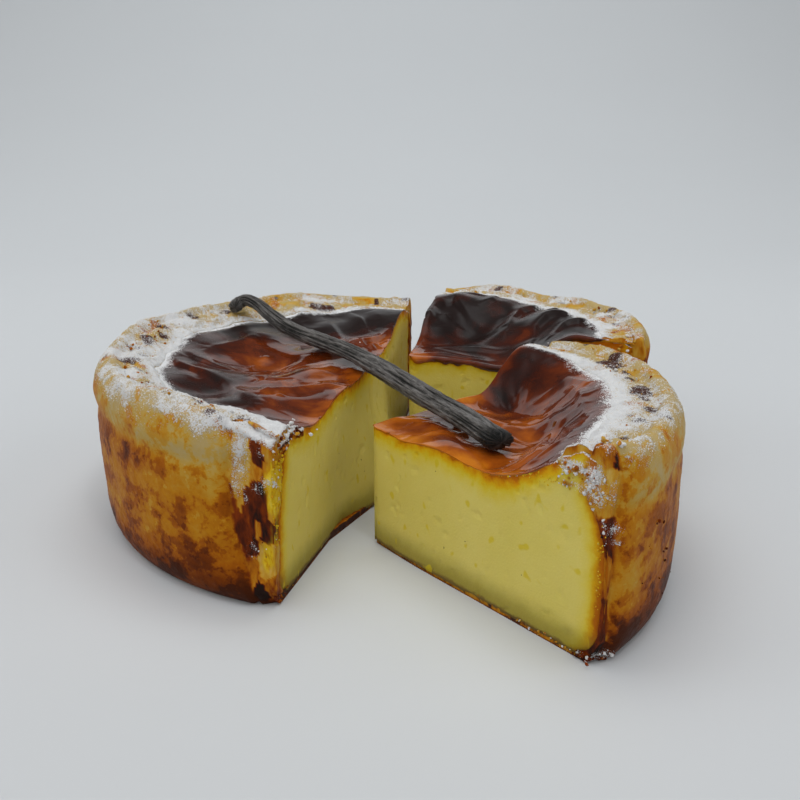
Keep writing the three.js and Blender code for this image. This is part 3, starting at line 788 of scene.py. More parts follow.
def strongest(marks, angle, height, start):
    """Each spot takes the value of the mark that reaches it most, or the start value."""
    best, value = 0.18 + 0 * height, start + 0 * height
    for at_angle, at_height, wide, tall, amount in marks:
        away = math.radians(1.0) * RIM_RADIUS * (angle - at_angle)
        reach = np.exp(-((away / wide) ** 2) - ((height - at_height) / tall) ** 2)
        value = np.where(reach > best, amount, value)
        best = np.maximum(best, reach)
    return value


def rim_edge(name, angle):
    """The ragged radius at which the sugared rim ends on the skin."""
    seed = seed_of(name, 80)
    return (SKIN_EDGE + 1.0 * noise(angle, 0.0, 0.0, 16.0, seed) + 0.7 * noise(angle, 0.0, 0.0, 5.0, seed)
            + 0.5 * noise(angle, 0.0, 0.0, 1.6, seed))


def bared(name, angle, height):
    """How far past the crack a spot of the wall is, in mm: positive where the layer has gone."""
    low, high = SLICES[name]["cuts"]
    at_height, at_angle = CRACKS[name]
    seed = seed_of(name, 120)
    crack = np.interp(height, at_height, at_angle)
    toward = 1.0 if abs(high - at_angle[0]) < abs(low - at_angle[0]) else -1.0
    away = toward * math.radians(1.0) * RIM_RADIUS * (angle - crack)
    return away + 0.9 * rough(height, toward * angle, 0.0, 6.0, 3, seed) * (np.abs(away) < 12.0)


def pastry_controls(name, angle):
    """The outer and inner outlines of the pastry at each angle, from the axis to the rim's edge."""
    piece = SLICES[name]
    crest = crest_height(piece, angle)
    lip_side = crest - 6.0
    edge = rim_edge(name, angle)
    nil = 0 * angle
    outer = [(nil, nil), (nil + 45.0, nil), (nil + 80.0, nil)]
    inner = [(nil, nil + 2.0), (nil + 45.0, nil + 2.0), (nil + 78.0, nil + 2.0)]
    for share in (0.0, 0.06, 0.2, 0.42, 0.68, 1.0):
        height = share * FOOT_ROUNDING + nil
        outer.append((wall_radius(piece, angle, height), height))
        inside = np.maximum(FLOOR_THICKNESS, FLOOR_THICKNESS + height * 0.95)
        inner.append((lining_radius(inside) + lining_step(name, angle, inside), inside))
    for share in (0.34, 0.51, 0.68, 0.85, 1.0):
        height = share * lip_side
        outer.append((wall_radius(piece, angle, height), height))
        inside = lining_radius(height) + lining_step(name, angle, height)
        inner.append((inside - 2.4 * smooth(height, 38.0, 48.0), height - 1.5 * share))
    side, step = wall_radius(piece, angle, lip_side), lining_step(name, angle, 44.0 + nil)
    for radius, height, inside_r, inside_z in (
        (side - 0.9, crest - 2.2, 82.6, crest - 6.4),
        (side - 3.4, crest - 0.1, 82.2, crest - 5.0),
        (side - 6.0, crest - 0.2, 81.5, crest - 4.2),
    ):
        outer.append((radius, height))
        inner.append((inside_r + step, inside_z))
    for share in (0.0, 0.3, 0.6, 0.85, 1.0):
        radius = mix(81.5, edge + 0.4, share)
        height = top_height(piece, *polar(radius, angle)) + 0.55 - 0.3 * smooth(share, 0.5, 1.0)
        outer.append((radius, height))
        inner.append((radius + 0.4 + step * (1.0 - share), height - 2.4 + 1.2 * share))
    outer.append((edge, top_height(piece, *polar(edge, angle)) - 0.5))
    inner.append((edge + 0.5, top_height(piece, *polar(edge, angle)) - 1.2))
    stack = lambda pairs: np.stack([np.stack(pair, -1) for pair in pairs], 1)
    return stack(outer), stack(inner)


def make_pastry(name, materials):
    piece = SLICES[name]
    seed = seed_of(name, 90, 9)
    body = Body("pastry_" + name, ["bake", "char", "sugar", "inner", "yellow"])
    low, high = piece["cuts"]
    every = PASTRY_EVERY
    count = every * int(math.ceil(math.radians(high - low) * RIM_RADIUS / PASTRY_STEP / every))
    angles = np.linspace(low, high, count + 1)
    outer, inner = pastry_controls(name, angles)
    # Places along the outline: sparse under the floor, then evenly fine.
    lengths = np.hypot(*np.diff(outer[len(outer) // 2], axis=0).T)
    ways = [np.array([0.0, 0.5, 1.0, 1.5, 2.0, 2.5])]
    for k in range(3, outer.shape[1] - 1):
        ways.append(k + np.linspace(0, 1, max(1, int(round(lengths[k] / PASTRY_STEP))), endpoint=False))
    ways = np.concatenate(ways + [[outer.shape[1] - 1.0]])
    line, lining = spread(outer, ways), spread(inner, ways)
    floor = ways < 3.0
    line[:, floor, 1] = 0.0
    radius, height = line[..., 0], line[..., 1]
    # Outward normals of the outline, for the relief.
    run = np.gradient(line, axis=1)
    size = np.hypot(run[..., 0], run[..., 1]) + 1e-9
    out_r, out_z = run[..., 1] / size, -run[..., 0] / size
    grid_angle = angles[:, None] + 0 * radius
    x, y = polar(radius, grid_angle)
    wall = smooth(height, 0.8, 4.0)
    on_top = smooth(out_z, 0.35, 0.75) * wall
    edge = rim_edge(name, grid_angle)
    clump = rough(x, y, 0.0, 6.0, 3, seed + 13)
    past = bared(name, grid_angle, height)
    bare = smooth(past, 0.0, 0.7) * smooth(radius, 78.0, 82.0) * smooth(height, 0.3, 2.0)
    relief = wall * (0.30 * rough(x, y, height, 10.0, 3, seed)
                     + 0.12 * rough(x, y, 2.2 * height, 2.2, 2, seed + 5))
    lip = hill(height - 46.5, 3.0) * 0.55 - 0.45 * hill(height - 41.0, 2.4)
    relief = relief + (1.0 - on_top) * lip * (0.8 + 0.6 * noise(grid_angle, 0.0, 0.0, 9.0, seed + 6))
    craggy = 1.0 - 2.0 * np.abs(noise(x, y, 0.0, 5.0, seed + 7))
    crags = 0.5 * craggy + 0.75 * clump + 0.4 * rough(x, y, 0.0, 1.8, 2, seed + 8)
    relief = relief + on_top * crags * (1.0 - 0.48 * smooth(radius, 82.5, 86.0))
    relief = relief + 0.85 * on_top * hill(radius - 85.7 - 0.8 * clump, 1.9)
    relief = relief - 0.65 * on_top * hill(radius - 82.3 - 1.2 * clump, 1.1)
    width = np.interp(grid_angle, *BANDS[name])
    inland = radius - edge + 1.8 * clump
    heap = smooth(radius, edge - 0.5, edge + 1.5) * (1.0 - smooth(inland, width - 2.0, width + 1.0))
    relief = relief + on_top * heap * (0.35 + 0.3 * rough(x, y, 0.0, 1.3, 2, seed + 16))
    crack = hill(past, 0.7) * smooth(radius, 78.0, 82.0)
    flaky = rough(past * 1.4, 0.35 * height, 0.0, 2.6, 3, seed + 9)
    relief = relief - bare * (1.0 - 0.9 * flaky) - 0.9 * crack
    fade = smooth(np.arange(radius.shape[1])[::-1], 0.0, 5.0)[None, :]
    relief = relief * fade * smooth(radius, 60.0, 70.0)
    radius, height = radius + out_r * relief, np.maximum(height + out_z * relief, 0.0)
    height[:, floor] = 0.0
    x, y = polar(radius, grid_angle)
    tip = polar(1.4, (low + high) / 2)
    x[:, 0], y[:, 0] = tip
    # Marks of baking.
    bake = 0.53 + 0.38 * (1.0 - smooth(height, 0.5, 18.0)) - 0.30 * smooth(height, 38.0, 45.0)
    bake = bake + 0.15 * rough(x, y, 0.8 * height, 17.0, 3, seed + 11)
    bake = bake + 0.06 * rough(x, y, height, 3.0, 2, seed + 12) - 0.20 * on_top
    bake = bake + 0.16 * on_top * hill(radius - 82.3 - 1.2 * clump, 1.1)
    bake = marked(WALL_MARKS[name], grid_angle, height, bake)
    shown = strongest(BARE_MARKS[name], grid_angle, height, 0.5) + 0.22 * flaky
    bake = mix(bake, shown, bare)
    yellow = bare * smooth(marked(YELLOW_MARKS[name], grid_angle, height) + 0.3 * flaky, 0.3, 0.6)
    # Powdered sugar: thick by the skin, broken further out, a dusting down the wall.
    patch = rough(x, y, 0.0, 13.0, 2, seed + 17)
    inland = radius - edge + 1.8 * clump
    band = smooth(radius, edge - 2.5, edge - 0.5) * (1.0 - smooth(inland, width - 2.0, width + 4.0))
    speck = rough(x, y, height, 1.7, 2, seed + 19)
    loose = np.interp(grid_angle, *DUSTINGS[name]) + 0.60 * clump + 0.40 * patch + 0.22 * speck
    loose = np.clip(1.15 * loose - 0.26 * smooth(radius, 82.0, 87.5), 0.0, 0.95)
    tongue = 1.2 + 3.4 * np.maximum(0.0, noise(grid_angle, 0.0, 0.0, 3.4, seed + 14))
    tongue = tongue * np.interp(grid_angle, *DUSTINGS[name]) * 1.6
    drop = crest_height(piece, grid_angle) - 1.0 - height + 0.9 * clump
    fallen = 0.7 * (1.0 - smooth(drop, tongue - 2.0, tongue + 2.4)) * smooth(radius, 86.5, 88.5)
    sugar = on_top * np.maximum((1.05 + 0.2 * speck) * band, loose * smooth(radius, edge, edge + 2.0))
    sugar = np.maximum(sugar, fallen * (0.35 + 0.65 * loose))
    sugar = marked(SUGAR_MARKS[name], grid_angle, height, sugar)
    char = smooth(noise(x, y, 0.0, 6.0, seed + 15), 0.55, 0.9) * on_top * smooth(radius, 74.0, 78.0)
    for at_angle, at_radius, wide in CHAR_SPOTS[name]:
        spot_x, spot_y = polar(at_radius, at_angle)
        spot = hill(np.hypot(x - spot_x, y - spot_y), 1.7 * wide) * on_top
        char, sugar = char + 1.1 * spot, sugar * (1.0 - 0.50 * spot)
    caramel = smooth(noise(x, y, 0.0, 4.2, seed + 18), 0.40, 0.75) * on_top
    bake, sugar = bake + 0.34 * caramel, sugar * (1.0 - 0.30 * caramel)
    outer_sheet = body.grid(placed(piece, x, y, height), 0, flip=True,
                            bake=bake, char=char, sugar=sugar, inner=bare, yellow=yellow)
    # Cut ends: the slab's thickness between its outer and inner outlines.
    ends = {}
    for end, row in CUT_ENDS:
        share = np.linspace(0.0, 1.0, END_LAYERS)[:, None]
        cut_r = mix(radius[row][None, :], lining[row, :, 0][None, :], share)
        cut_z = mix(height[row][None, :], lining[row, :, 1][None, :], share)
        crag = (0.7 * rough(cut_r, cut_z, 0.0, 4.0, 3, seed + 20 + end) + 0.1) * smooth(cut_z, 1.0, 6.0)
        crag = crag * smooth(share, 0.0, 0.2) + cut_wobble(name, end, cut_r, cut_z) * smooth(share, 0.2, 0.8)
        crag = crag - 0.25 * (1.0 - smooth(cut_z, 1.5, 5.0))
        crag[0], crag[:, 0] = 0.0, 0.0
        px, py = on_cut(name, end, cut_r, crag)
        px[:, 0], py[:, 0] = tip
        flake = rough(0.6 * cut_r, 0.35 * cut_z, 0.0, 1.4, 3, seed + 24)
        tint = 0.64 + 0.34 * flake - 0.18 * smooth(share, 0.6, 1.0) - 0.16 * smooth(cut_z, 42.0, 47.0)
        shown = strongest(BARE_MARKS[name], angles[row] + 0 * cut_z, cut_z, 9.0)
        tint = np.where(shown < 5.0, mix(tint, shown + 0.2 * flake, 0.8), tint)
        tint = mix(tint, 0.46 + 0.4 * flake, 1.0 - smooth(cut_z, 1.6, 3.0))
        smear = marked(YELLOW_MARKS[name], angles[row] + 0 * cut_z, cut_z) + 0.35 * flake
        dust = daubed(CUT_SUGAR.get((name, end), []), cut_r, cut_z)
        ends[end] = body.grid(placed(piece, px, py, cut_z), 0, flip=(end == 1), inner=1.0, bake=tint,
                              sugar=dust, yellow=smooth(smear, 0.35, 0.65),
                              char=FLOOR_CHAR[name] * (1.0 - smooth(cut_z, 1.6, 3.0)))
    # The hidden inner sheet, coarser round the flan.
    coarse_r, coarse_z = lining[::every, :, 0], lining[::every, :, 1]
    cx, cy = polar(coarse_r, angles[::every][:, None])
    cx[:, 0], cy[:, 0] = tip
    spots = placed(piece, cx, cy, coarse_z)
    for end, row in CUT_ENDS:
        spots[row] = body.at(ends[end][-1])
    inner_sheet = body.grid(spots, 0, bake=0.6, inner=1.0)
    body.strip(outer_sheet[:, -1], inner_sheet[:, -1], every,
               ends=(ends[0][1:-1, -1], ends[1][1:-1, -1]))
    return body.finish(materials)


# ---- The vanilla pod --------------------------------------------------------------------------------


def make_pod(materials):
    body = Body("pod", ["along", "around", "ridge"])
    knots = np.array(POD_LINE)
    knots[:, :2] += SLICES["half"]["point"]
    ways = np.linspace(0.0, len(knots) - 1.0, POD_RINGS)
    line = spread(knots[None, :, :3], ways)[0]
    width = np.interp(ways, np.arange(len(knots)), knots[:, 3])
    share = ways / ways[-1]
    blunt = np.sqrt(np.minimum(1.0, np.minimum((1 - share) / 0.018 + 0.02, share / 0.02 + 0.03)))
    ahead = np.gradient(line, axis=0)
    ahead /= np.linalg.norm(ahead, axis=1)[:, None]
    side = np.stack([-ahead[:, 1], ahead[:, 0], 0 * ahead[:, 0]], -1)
    side /= np.linalg.norm(side, axis=1)[:, None]
    up = np.cross(ahead, side)
    passed = np.concatenate([[0.0], np.cumsum(np.linalg.norm(np.diff(line, axis=0), axis=1))])
    turn = np.linspace(0.0, 2 * np.pi, POD_SIDES + 1)
    cos, sin = np.cos(turn)[None, :], np.sin(turn)[None, :]
    half_w = (POD_WIDTH / 2 * width * blunt)[:, None]
    half_h = (POD_THICKNESS / 2 * mix(0.8, 1.0, width) * blunt)[:, None]
    # Long wrinkles run down the pod and wander a little round it.
    long_way = passed[:, None]
    wrinkle = 1.0 - 2.2 * np.abs(noise(5.0 * cos, 5.0 * sin, long_way / 18.0, 0.9, 300))
    wrinkle = wrinkle - 0.7 * np.abs(noise(7.0 * cos, 7.0 * sin, long_way / 7.0, 0.7, 301))
    wrinkle = wrinkle + 0.3 * noise(5.0 * cos, 5.0 * sin, long_way / 1.6, 0.9, 302)
    swell = 1.0 + 0.05 * noise(long_way, 0.0, 0.0, 14.0, 303)
    deep = 0.44 * wrinkle * smooth(half_w, 0.4, 2.6)
    spots = (line[:, None, :] + side[:, None, :] * (cos * (half_w * swell + deep))[..., None]
             + up[:, None, :] * (sin * (half_h * swell + deep))[..., None])
    spots[:, -1] = spots[:, 0]
    wrinkle[:, -1] = wrinkle[:, 0]
    wrinkle = wrinkle - smooth(share, 0.93, 0.98)[:, None]
    # The ridge value paints the pod black in its grooves as painted shade and paler grey on its ridges as
    # painted highlight.
    grid = body.grid(spots, 0, along=np.repeat(long_way, POD_SIDES + 1, 1), ridge=0.5 + 0.45 * wrinkle,
                     around=np.repeat(turn[None, :] / (2 * np.pi), len(ways), 0))
    for row, end, flip in ((0, line[0], False), (-1, line[-1], True)):
        middle = body.vertices(end[None, :], along=float(passed[row]), around=0.5, ridge=0.4)[0]
        for k in range(POD_SIDES):
            ring = [grid[row, k], grid[row, k + 1], middle]
            body.add(ring if flip else ring[::-1])
    return body.finish(materials)


# ---- Materials ----------------------------------------------------------------------------------------


class Recipe:
    """A node tree, with short ways to add and join its nodes."""

    def __init__(self, tree):
        self.tree = tree

    def node(self, kind, **settings):
        node = self.tree.nodes.new(kind)
        for key, value in settings.items():
            setattr(node, key, value)
        return node

    def feed(self, socket, value):
        if isinstance(value, bpy.types.NodeSocket):
            self.tree.links.new(value, socket)
        else:
            socket.default_value = value

    def made(self, kind, inputs, **settings):
        """The outputs of a new node, with its inputs fed by name or by number."""
        node = self.node(kind, **settings)
        for key, given in inputs.items():
            self.feed(node.inputs[key], given)
        return node.outputs

    def value(self, name):
        return self.node("ShaderNodeAttribute", attribute_name=name).outputs["Fac"]

    def spot(self):
        return self.node("ShaderNodeTexCoord").outputs["Object"]

    def math(self, operation, *given, clamp=False):
        return self.made("ShaderNodeMath", dict(enumerate(given)), operation=operation, use_clamp=clamp)[0]

    def sway(self, value, share, base):
        """A base, moved up and down by a share of how far a noise is from its middle."""
        return self.math("MULTIPLY_ADD", self.math("SUBTRACT", value, 0.5), share, base)

    def noise(self, vector, scale, detail=2.0, rough=0.5, warp=0.0):
        return self.made("ShaderNodeTexNoise", {
            "Vector": vector, "Scale": scale, "Detail": detail, "Roughness": rough,
            "Distortion": warp})["Fac"]

    def stretch(self, vector, scale):
        return self.made("ShaderNodeMapping", {"Vector": vector, "Scale": scale})["Vector"]

    def ramp(self, value, stops, way="LINEAR"):
        node = self.node("ShaderNodeValToRGB")
        node.color_ramp.interpolation = way
        stop = node.color_ramp.elements
        while len(stop) < len(stops):
            stop.new(0.5)
        for element, (place, colour) in zip(stop, stops):
            element.position, element.color = place, (*colour, 1.0)
        self.feed(node.inputs["Fac"], value)
        return node.outputs["Color"]

    def between(self, value, low, high):
        """0 below low and 1 above high."""
        return self.made("ShaderNodeMapRange", {"Value": value, "From Min": low, "From Max": high},
                         interpolation_type="SMOOTHSTEP")["Result"]

    def blend(self, share, a, b):
        a, b = ((*given, 1.0) if isinstance(given, tuple) else given for given in (a, b))
        return self.made("ShaderNodeMix", {"Factor": share, 6: a, 7: b}, data_type="RGBA")[2]

    def stain(self, colour, tint, value, low, high, share=1.0):
        """A colour, turned towards a tint as a value goes from low to high."""
        reach = self.between(value, low, high)
        return self.blend(self.math("MULTIPLY", reach, share) if share < 1.0 else reach, colour, tint)

    def bump(self, height, strength, distance):
        return self.made("ShaderNodeBump", {
            "Height": height, "Strength": strength, "Distance": distance})["Normal"]

    def group(self, tree, **inputs):
        return self.made("ShaderNodeGroup", inputs, node_tree=tree)


def new_material(name):
    material = bpy.data.materials.new(name)
    material.use_nodes = True
    material.node_tree.nodes.clear()
    recipe = Recipe(material.node_tree)
    surface = recipe.node("ShaderNodeBsdfPrincipled")
    output = recipe.node("ShaderNodeOutputMaterial")
    recipe.tree.links.new(surface.outputs[0], output.inputs["Surface"])
    return material, recipe, surface.inputs


def new_group(name, inputs, outputs):
    tree = bpy.data.node_groups.new(name, "ShaderNodeTree")
    for direction, sockets in (("INPUT", inputs), ("OUTPUT", outputs)):
        for key, kind in sockets:
            tree.interface.new_socket(key, in_out=direction, socket_type="NodeSocket" + kind)
    recipe = Recipe(tree)
    return tree, recipe, recipe.node("NodeGroupInput").outputs, recipe.node("NodeGroupOutput").inputs


def powdered_sugar():
    """Powdered sugar over a surface: Amount 1 hides it, and less leaves ever fewer grains."""
    tree, recipe, given, put = new_group(
        "Powdered sugar",
        [("Colour", "Color"), ("Roughness", "Float"), ("Amount", "Float"), ("Height", "Float")],
        [("Colour", "Color"), ("Roughness", "Float"), ("Height", "Float")])
    spot = recipe.spot()
    clump = recipe.noise(spot, 520.0, 3.0, 0.6)
    grain = recipe.noise(spot, 2600.0, 2.0, 0.7)
    level = recipe.sway(grain, 2.8, recipe.sway(clump, 1.4, 0.5))
    excess = recipe.math("SUBTRACT", given["Amount"], level)
    mask = recipe.math("MULTIPLY_ADD", excess, 4.5, 0.35, clamp=True)
    mask = recipe.math("MULTIPLY", mask, recipe.between(given["Amount"], 0.01, 0.12))
    veil = recipe.math("MULTIPLY", recipe.between(given["Amount"], 0.12, 0.8), 0.16)
    mask = recipe.math("MAXIMUM", mask, veil)
    # The sugar is painted greyer where its clumps and grains lie low: painted shade in the hollows of the
    # pile.
    sugar_white_with_painted_shade = recipe.blend(recipe.math("MULTIPLY_ADD", clump, 0.5, recipe.math("MULTIPLY", grain, 0.5)),
                         (0.40, 0.40, 0.41), (1.0, 1.0, 0.99))
    recipe.feed(put["Colour"], recipe.blend(mask, given["Colour"], sugar_white_with_painted_shade))
    bare = recipe.math("MULTIPLY", recipe.math("SUBTRACT", 1.0, mask), given["Roughness"])
    recipe.feed(put["Roughness"], recipe.math("ADD", recipe.math("MULTIPLY", mask, 0.9), bare))
    lift = recipe.math("MULTIPLY_ADD", grain, 2.2, recipe.math("MULTIPLY_ADD", clump, 2.6, 0.3))
    recipe.feed(put["Height"], recipe.math("ADD", given["Height"], recipe.math("MULTIPLY", mask, lift)))
    return tree


def dust(recipe, surface, sugar, colour, gloss, relief, strength, depth):
    """Feeds a surface its colour, gloss and relief, under the powdered sugar painted on it."""
    dusted = recipe.group(sugar, Colour=colour, Roughness=gloss, Amount=recipe.value("sugar"), Height=relief)
    recipe.feed(surface["Base Color"], dusted["Colour"])
    recipe.feed(surface["Roughness"], dusted["Roughness"])
    recipe.feed(surface["Normal"], recipe.bump(dusted["Height"], strength, depth))


def pastry_material(sugar):
    material, recipe, surface = new_material("Baked pastry")
    spot = recipe.spot()
    bake = recipe.value("bake")
    patch = recipe.noise(recipe.stretch(spot, (1.0, 1.0, 1.25)), 95.0, 5.0, 0.62, 0.15)
    island = recipe.noise(recipe.stretch(spot, (1.0, 1.0, 0.9)), 190.0, 4.0, 0.62, 0.1)
    fine = recipe.noise(spot, 620.0, 3.0, 0.6)
    tone = bake
    for mark, low, high, darker in ((patch, 0.485, 0.55, 0.17), (island, 0.54, 0.60, 0.15),
                                    (island, 0.40, 0.36, -0.12)):
        tone = recipe.math("MULTIPLY_ADD", recipe.between(mark, low, high), darker, tone)
    tone = recipe.sway(fine, 0.22, recipe.sway(patch, 0.45, tone))
    colour = recipe.ramp(recipe.math("SUBTRACT", tone, 0.08), [
        (0.0, (0.43, 0.315, 0.130)), (0.11, (0.45, 0.300, 0.078)), (0.23, (0.46, 0.260, 0.032)),
        (0.38, (0.44, 0.180, 0.007)), (0.56, (0.33, 0.092, 0.003)), (0.76, (0.165, 0.034, 0.002)),
        (1.0, (0.055, 0.012, 0.003))])
    # The broken crust inside, with custard smeared on it in places.
    layer = recipe.noise(recipe.stretch(spot, (1.0, 1.0, 0.35)), 800.0, 3.0, 0.55)
    crumb = recipe.ramp(recipe.sway(layer, 0.55, bake), [
        (0.05, (0.56, 0.38, 0.10)), (0.28, (0.50, 0.27, 0.028)), (0.48, (0.42, 0.145, 0.006)),
        (0.66, (0.19, 0.032, 0.004)), (0.85, (0.075, 0.014, 0.005)), (1.0, (0.018, 0.008, 0.006))])
    colour = recipe.blend(recipe.value("inner"), colour, crumb)
    smear = recipe.ramp(layer, [
        (0.35, (0.50, 0.24, 0.006)), (0.5, (0.62, 0.40, 0.012)), (0.7, (0.66, 0.50, 0.05))], "EASE")
    colour = recipe.blend(recipe.value("yellow"), colour, smear)
    burn = recipe.sway(fine, 0.9, recipe.sway(island, 1.4, recipe.value("char")))
    colour = recipe.stain(colour, recipe.blend(fine, (0.10, 0.03, 0.012), (0.020, 0.017, 0.020)),
                          burn, 0.45, 0.8)
    height = recipe.math("ADD", recipe.math("MULTIPLY", fine, 0.5), recipe.math("MULTIPLY", patch, 0.8))
    dust(recipe, surface, sugar, colour, recipe.math("MULTIPLY_ADD", fine, 0.25, 0.34), height, 0.6, 0.0005)
    surface["Specular IOR Level"].default_value = 0.05
    return material


def custard_material(sugar):
    material, recipe, surface = new_material("Cut custard")
    spot = recipe.spot()
    cloud = recipe.noise(spot, 70.0, 3.0, 0.5)
    blur = recipe.noise(spot, 260.0, 3.0, 0.6)
    colour = recipe.blend(cloud, (0.62, 0.51, 0.100), (0.69, 0.585, 0.165))
    # Deeper yellow, then orange, under the skin and against the pastry.
    down, near = recipe.sway(blur, 6.0, recipe.value("under")), recipe.sway(blur, 4.0, recipe.value("rind"))
    rich = recipe.math("MAXIMUM", recipe.between(down, 9.0, 2.0), recipe.between(near, 8.0, 2.0))
    colour = recipe.blend(recipe.math("MULTIPLY", rich, 0.88), colour, (0.64, 0.475, 0.014))
    warm = recipe.ramp(recipe.math("DIVIDE", down, 6.0), [
        (0.0, (0.42, 0.115, 0.002)), (0.14, (0.56, 0.215, 0.002)), (0.34, (0.63, 0.36, 0.006)),
        (0.7, (0.64, 0.46, 0.015))])
    # Each mark: its colour, what it follows and from where to where, and how strong it is. They are the
    # baked layers, the darker foot (the custard's own darker band there, deepened with painted contact
    # shade under the slice), the bubbles and the vanilla seeds.
    base = recipe.sway(blur, 3.0, recipe.value("low"))
    dots = recipe.noise(recipe.stretch(spot, (1.0, 1.0, 0.7)), 330.0, 0.0)
    seeds = recipe.noise(spot, 640.0, 0.0)
    for tint, mark, low, high, share in (
        (warm, down, 4.6, 2.2, 1.0),
        ((0.58, 0.30, 0.004), near, 4.6, 1.8, 1.0), ((0.38, 0.105, 0.002), near, 2.4, 0.6, 1.0),
        ((0.24, 0.19, 0.020), base, 9.0, 0.5, 0.75), ((0.20, 0.13, 0.030), base, 0.7, -0.5, 1.0),
        ((0.60, 0.45, 0.014), dots, 0.72, 0.80, 0.75), ((0.05, 0.03, 0.01), seeds, 0.87, 0.90, 0.8),
    ):
        colour = recipe.stain(colour, tint, mark, low, high, share)
    slipped = recipe.ramp(recipe.sway(blur, 1.1, recipe.value("char")), [
        (0.1, (0.52, 0.30, 0.035)), (0.35, (0.42, 0.16, 0.006)), (0.6, (0.22, 0.042, 0.003)),
        (0.95, (0.035, 0.010, 0.006))])
    colour = recipe.blend(recipe.value("spill"), colour, slipped)
    grainy = recipe.noise(spot, 1500.0, 2.0)
    dust(recipe, surface, sugar, colour, recipe.math("MULTIPLY_ADD", blur, 0.25, 0.42),
         recipe.math("ADD", blur, grainy), 0.3, 0.0004)
    surface["Specular IOR Level"].default_value = 0.09
    surface["Subsurface Weight"].default_value = 0.18
    surface["Subsurface Radius"].default_value = (1.0, 0.62, 0.22)
    surface["Subsurface Scale"].default_value = 0.004
    return material


def skin_material(sugar):
    material, recipe, surface = new_material("Glazed skin")
    cloud = recipe.noise(recipe.spot(), 95.0, 4.0, 0.55, 0.4)
    tone = recipe.sway(cloud, 0.95, recipe.value("char"))
    tone = recipe.math("SUBTRACT", tone, recipe.math("MULTIPLY", recipe.value("edge"), 0.38))
    colour = recipe.ramp(tone, [
        (0.0, (0.52, 0.16, 0.008)), (0.25, (0.33, 0.075, 0.005)), (0.5, (0.13, 0.022, 0.004)),
        (0.75, (0.038, 0.007, 0.003)), (1.0, (0.012, 0.006, 0.005))])
    gloss = recipe.math("MULTIPLY_ADD", recipe.between(tone, 0.5, 0.95), 0.22, 0.06)
    dust(recipe, surface, sugar, colour, gloss, recipe.math("MULTIPLY", cloud, 0.5), 0.35, 0.0005)
    surface["Specular IOR Level"].default_value = 0.5
    return material


def pod_material():
    material, recipe, surface = new_material("Vanilla pod")
    turn = recipe.math("MULTIPLY", recipe.value("around"), 2 * math.pi)
    where = recipe.made("ShaderNodeCombineXYZ", {
        "X": recipe.math("MULTIPLY", recipe.math("COSINE", turn), 3.2),
        "Y": recipe.math("MULTIPLY", recipe.math("SINE", turn), 3.2),
        "Z": recipe.math("MULTIPLY", recipe.value("along"), 0.10)})[0]
    streak = recipe.noise(where, 3.2, 5.0, 0.65)
    fleck = recipe.noise(recipe.spot(), 1300.0, 3.0, 0.6)
    ridge = recipe.sway(streak, 1.5, recipe.value("ridge"))
    # The colour follows the ridges: black in the grooves is painted shade, and the paler grey on the ridges
    # is painted highlight.
    colour = recipe.ramp(ridge, [
        (0.05, (0.003, 0.003, 0.0025)), (0.40, (0.026, 0.023, 0.020)), (0.62, (0.088, 0.081, 0.075)),
        (0.95, (0.170, 0.160, 0.150))])
    recipe.feed(surface["Base Color"], recipe.stain(colour, (0.13, 0.118, 0.108), fleck, 0.60, 0.74, 0.4))
    recipe.feed(surface["Roughness"], recipe.math("MULTIPLY_ADD", ridge, -0.2, 0.5))
    height = recipe.math("ADD", streak, recipe.math("MULTIPLY", fleck, 0.35))
    recipe.feed(surface["Normal"], recipe.bump(height, 0.9, 0.0008))
    return material


def grain_material():
    material, recipe, surface = new_material("Sugar grains")
    shade = recipe.noise(recipe.spot(), 900.0)
    recipe.feed(surface["Base Color"], recipe.blend(shade, (0.62, 0.62, 0.625), (0.84, 0.84, 0.835)))
    recipe.feed(surface["Roughness"], recipe.math("MULTIPLY_ADD", shade, 0.3, 0.55))
    recipe.feed(surface["Normal"], recipe.bump(recipe.noise(recipe.spot(), 5000.0), 0.3, 0.0002))
    return material


# ---- Sugar grains and crumbs -------------------------------------------------------------------------

FULL_TURN = 6.28


def new_pattern(name, inputs):
    """A geometry node tree with named inputs, and what each input is called inside."""
    tree = bpy.data.node_groups.new(name, "GeometryNodeTree")
    socket = tree.interface.new_socket
    socket("Geometry", in_out="INPUT", socket_type="NodeSocketGeometry")
    known = {key: socket(key, in_out="INPUT", socket_type="NodeSocket" + kind).identifier
             for key, kind in inputs}
    socket("Geometry", in_out="OUTPUT", socket_type="NodeSocketGeometry")
    recipe = Recipe(tree)
    return tree, recipe, known, recipe.node("NodeGroupInput").outputs, recipe.node("NodeGroupOutput").inputs


def grown(name, mesh, pattern, known, values):
    """A plain mesh object of what a geometry node tree makes from a mesh."""
    piece = bpy.data.objects.new(name, mesh)
    bpy.context.scene.collection.objects.link(piece)
    modifier = piece.modifiers.new(name, "NODES")
    modifier.node_group = pattern
    for key, value in values.items():
        modifier[known[key]] = value
    seen = piece.evaluated_get(bpy.context.evaluated_depsgraph_get())
    result = bpy.data.meshes.new_from_object(seen)
    piece.modifiers.remove(modifier)
    piece.data = result
    result.name = name
    return piece


def planted(recipe, given, put, points, shape, scale):
    """Puts out a shape on each point, turned by chance, as plain mesh in its material."""
    turn = recipe.made("FunctionNodeRandomValue", {1: (FULL_TURN,) * 3}, data_type="FLOAT_VECTOR")[0]
    set_out = recipe.made("GeometryNodeInstanceOnPoints", {
        "Points": points, "Instance": shape, "Rotation": turn, "Scale": scale})[0]
    real = recipe.made("GeometryNodeRealizeInstances", {0: set_out})[0]
    finish = recipe.made("GeometryNodeSetMaterial", {"Geometry": real, "Material": given["Material"]})[0]
    recipe.feed(put[0], finish)


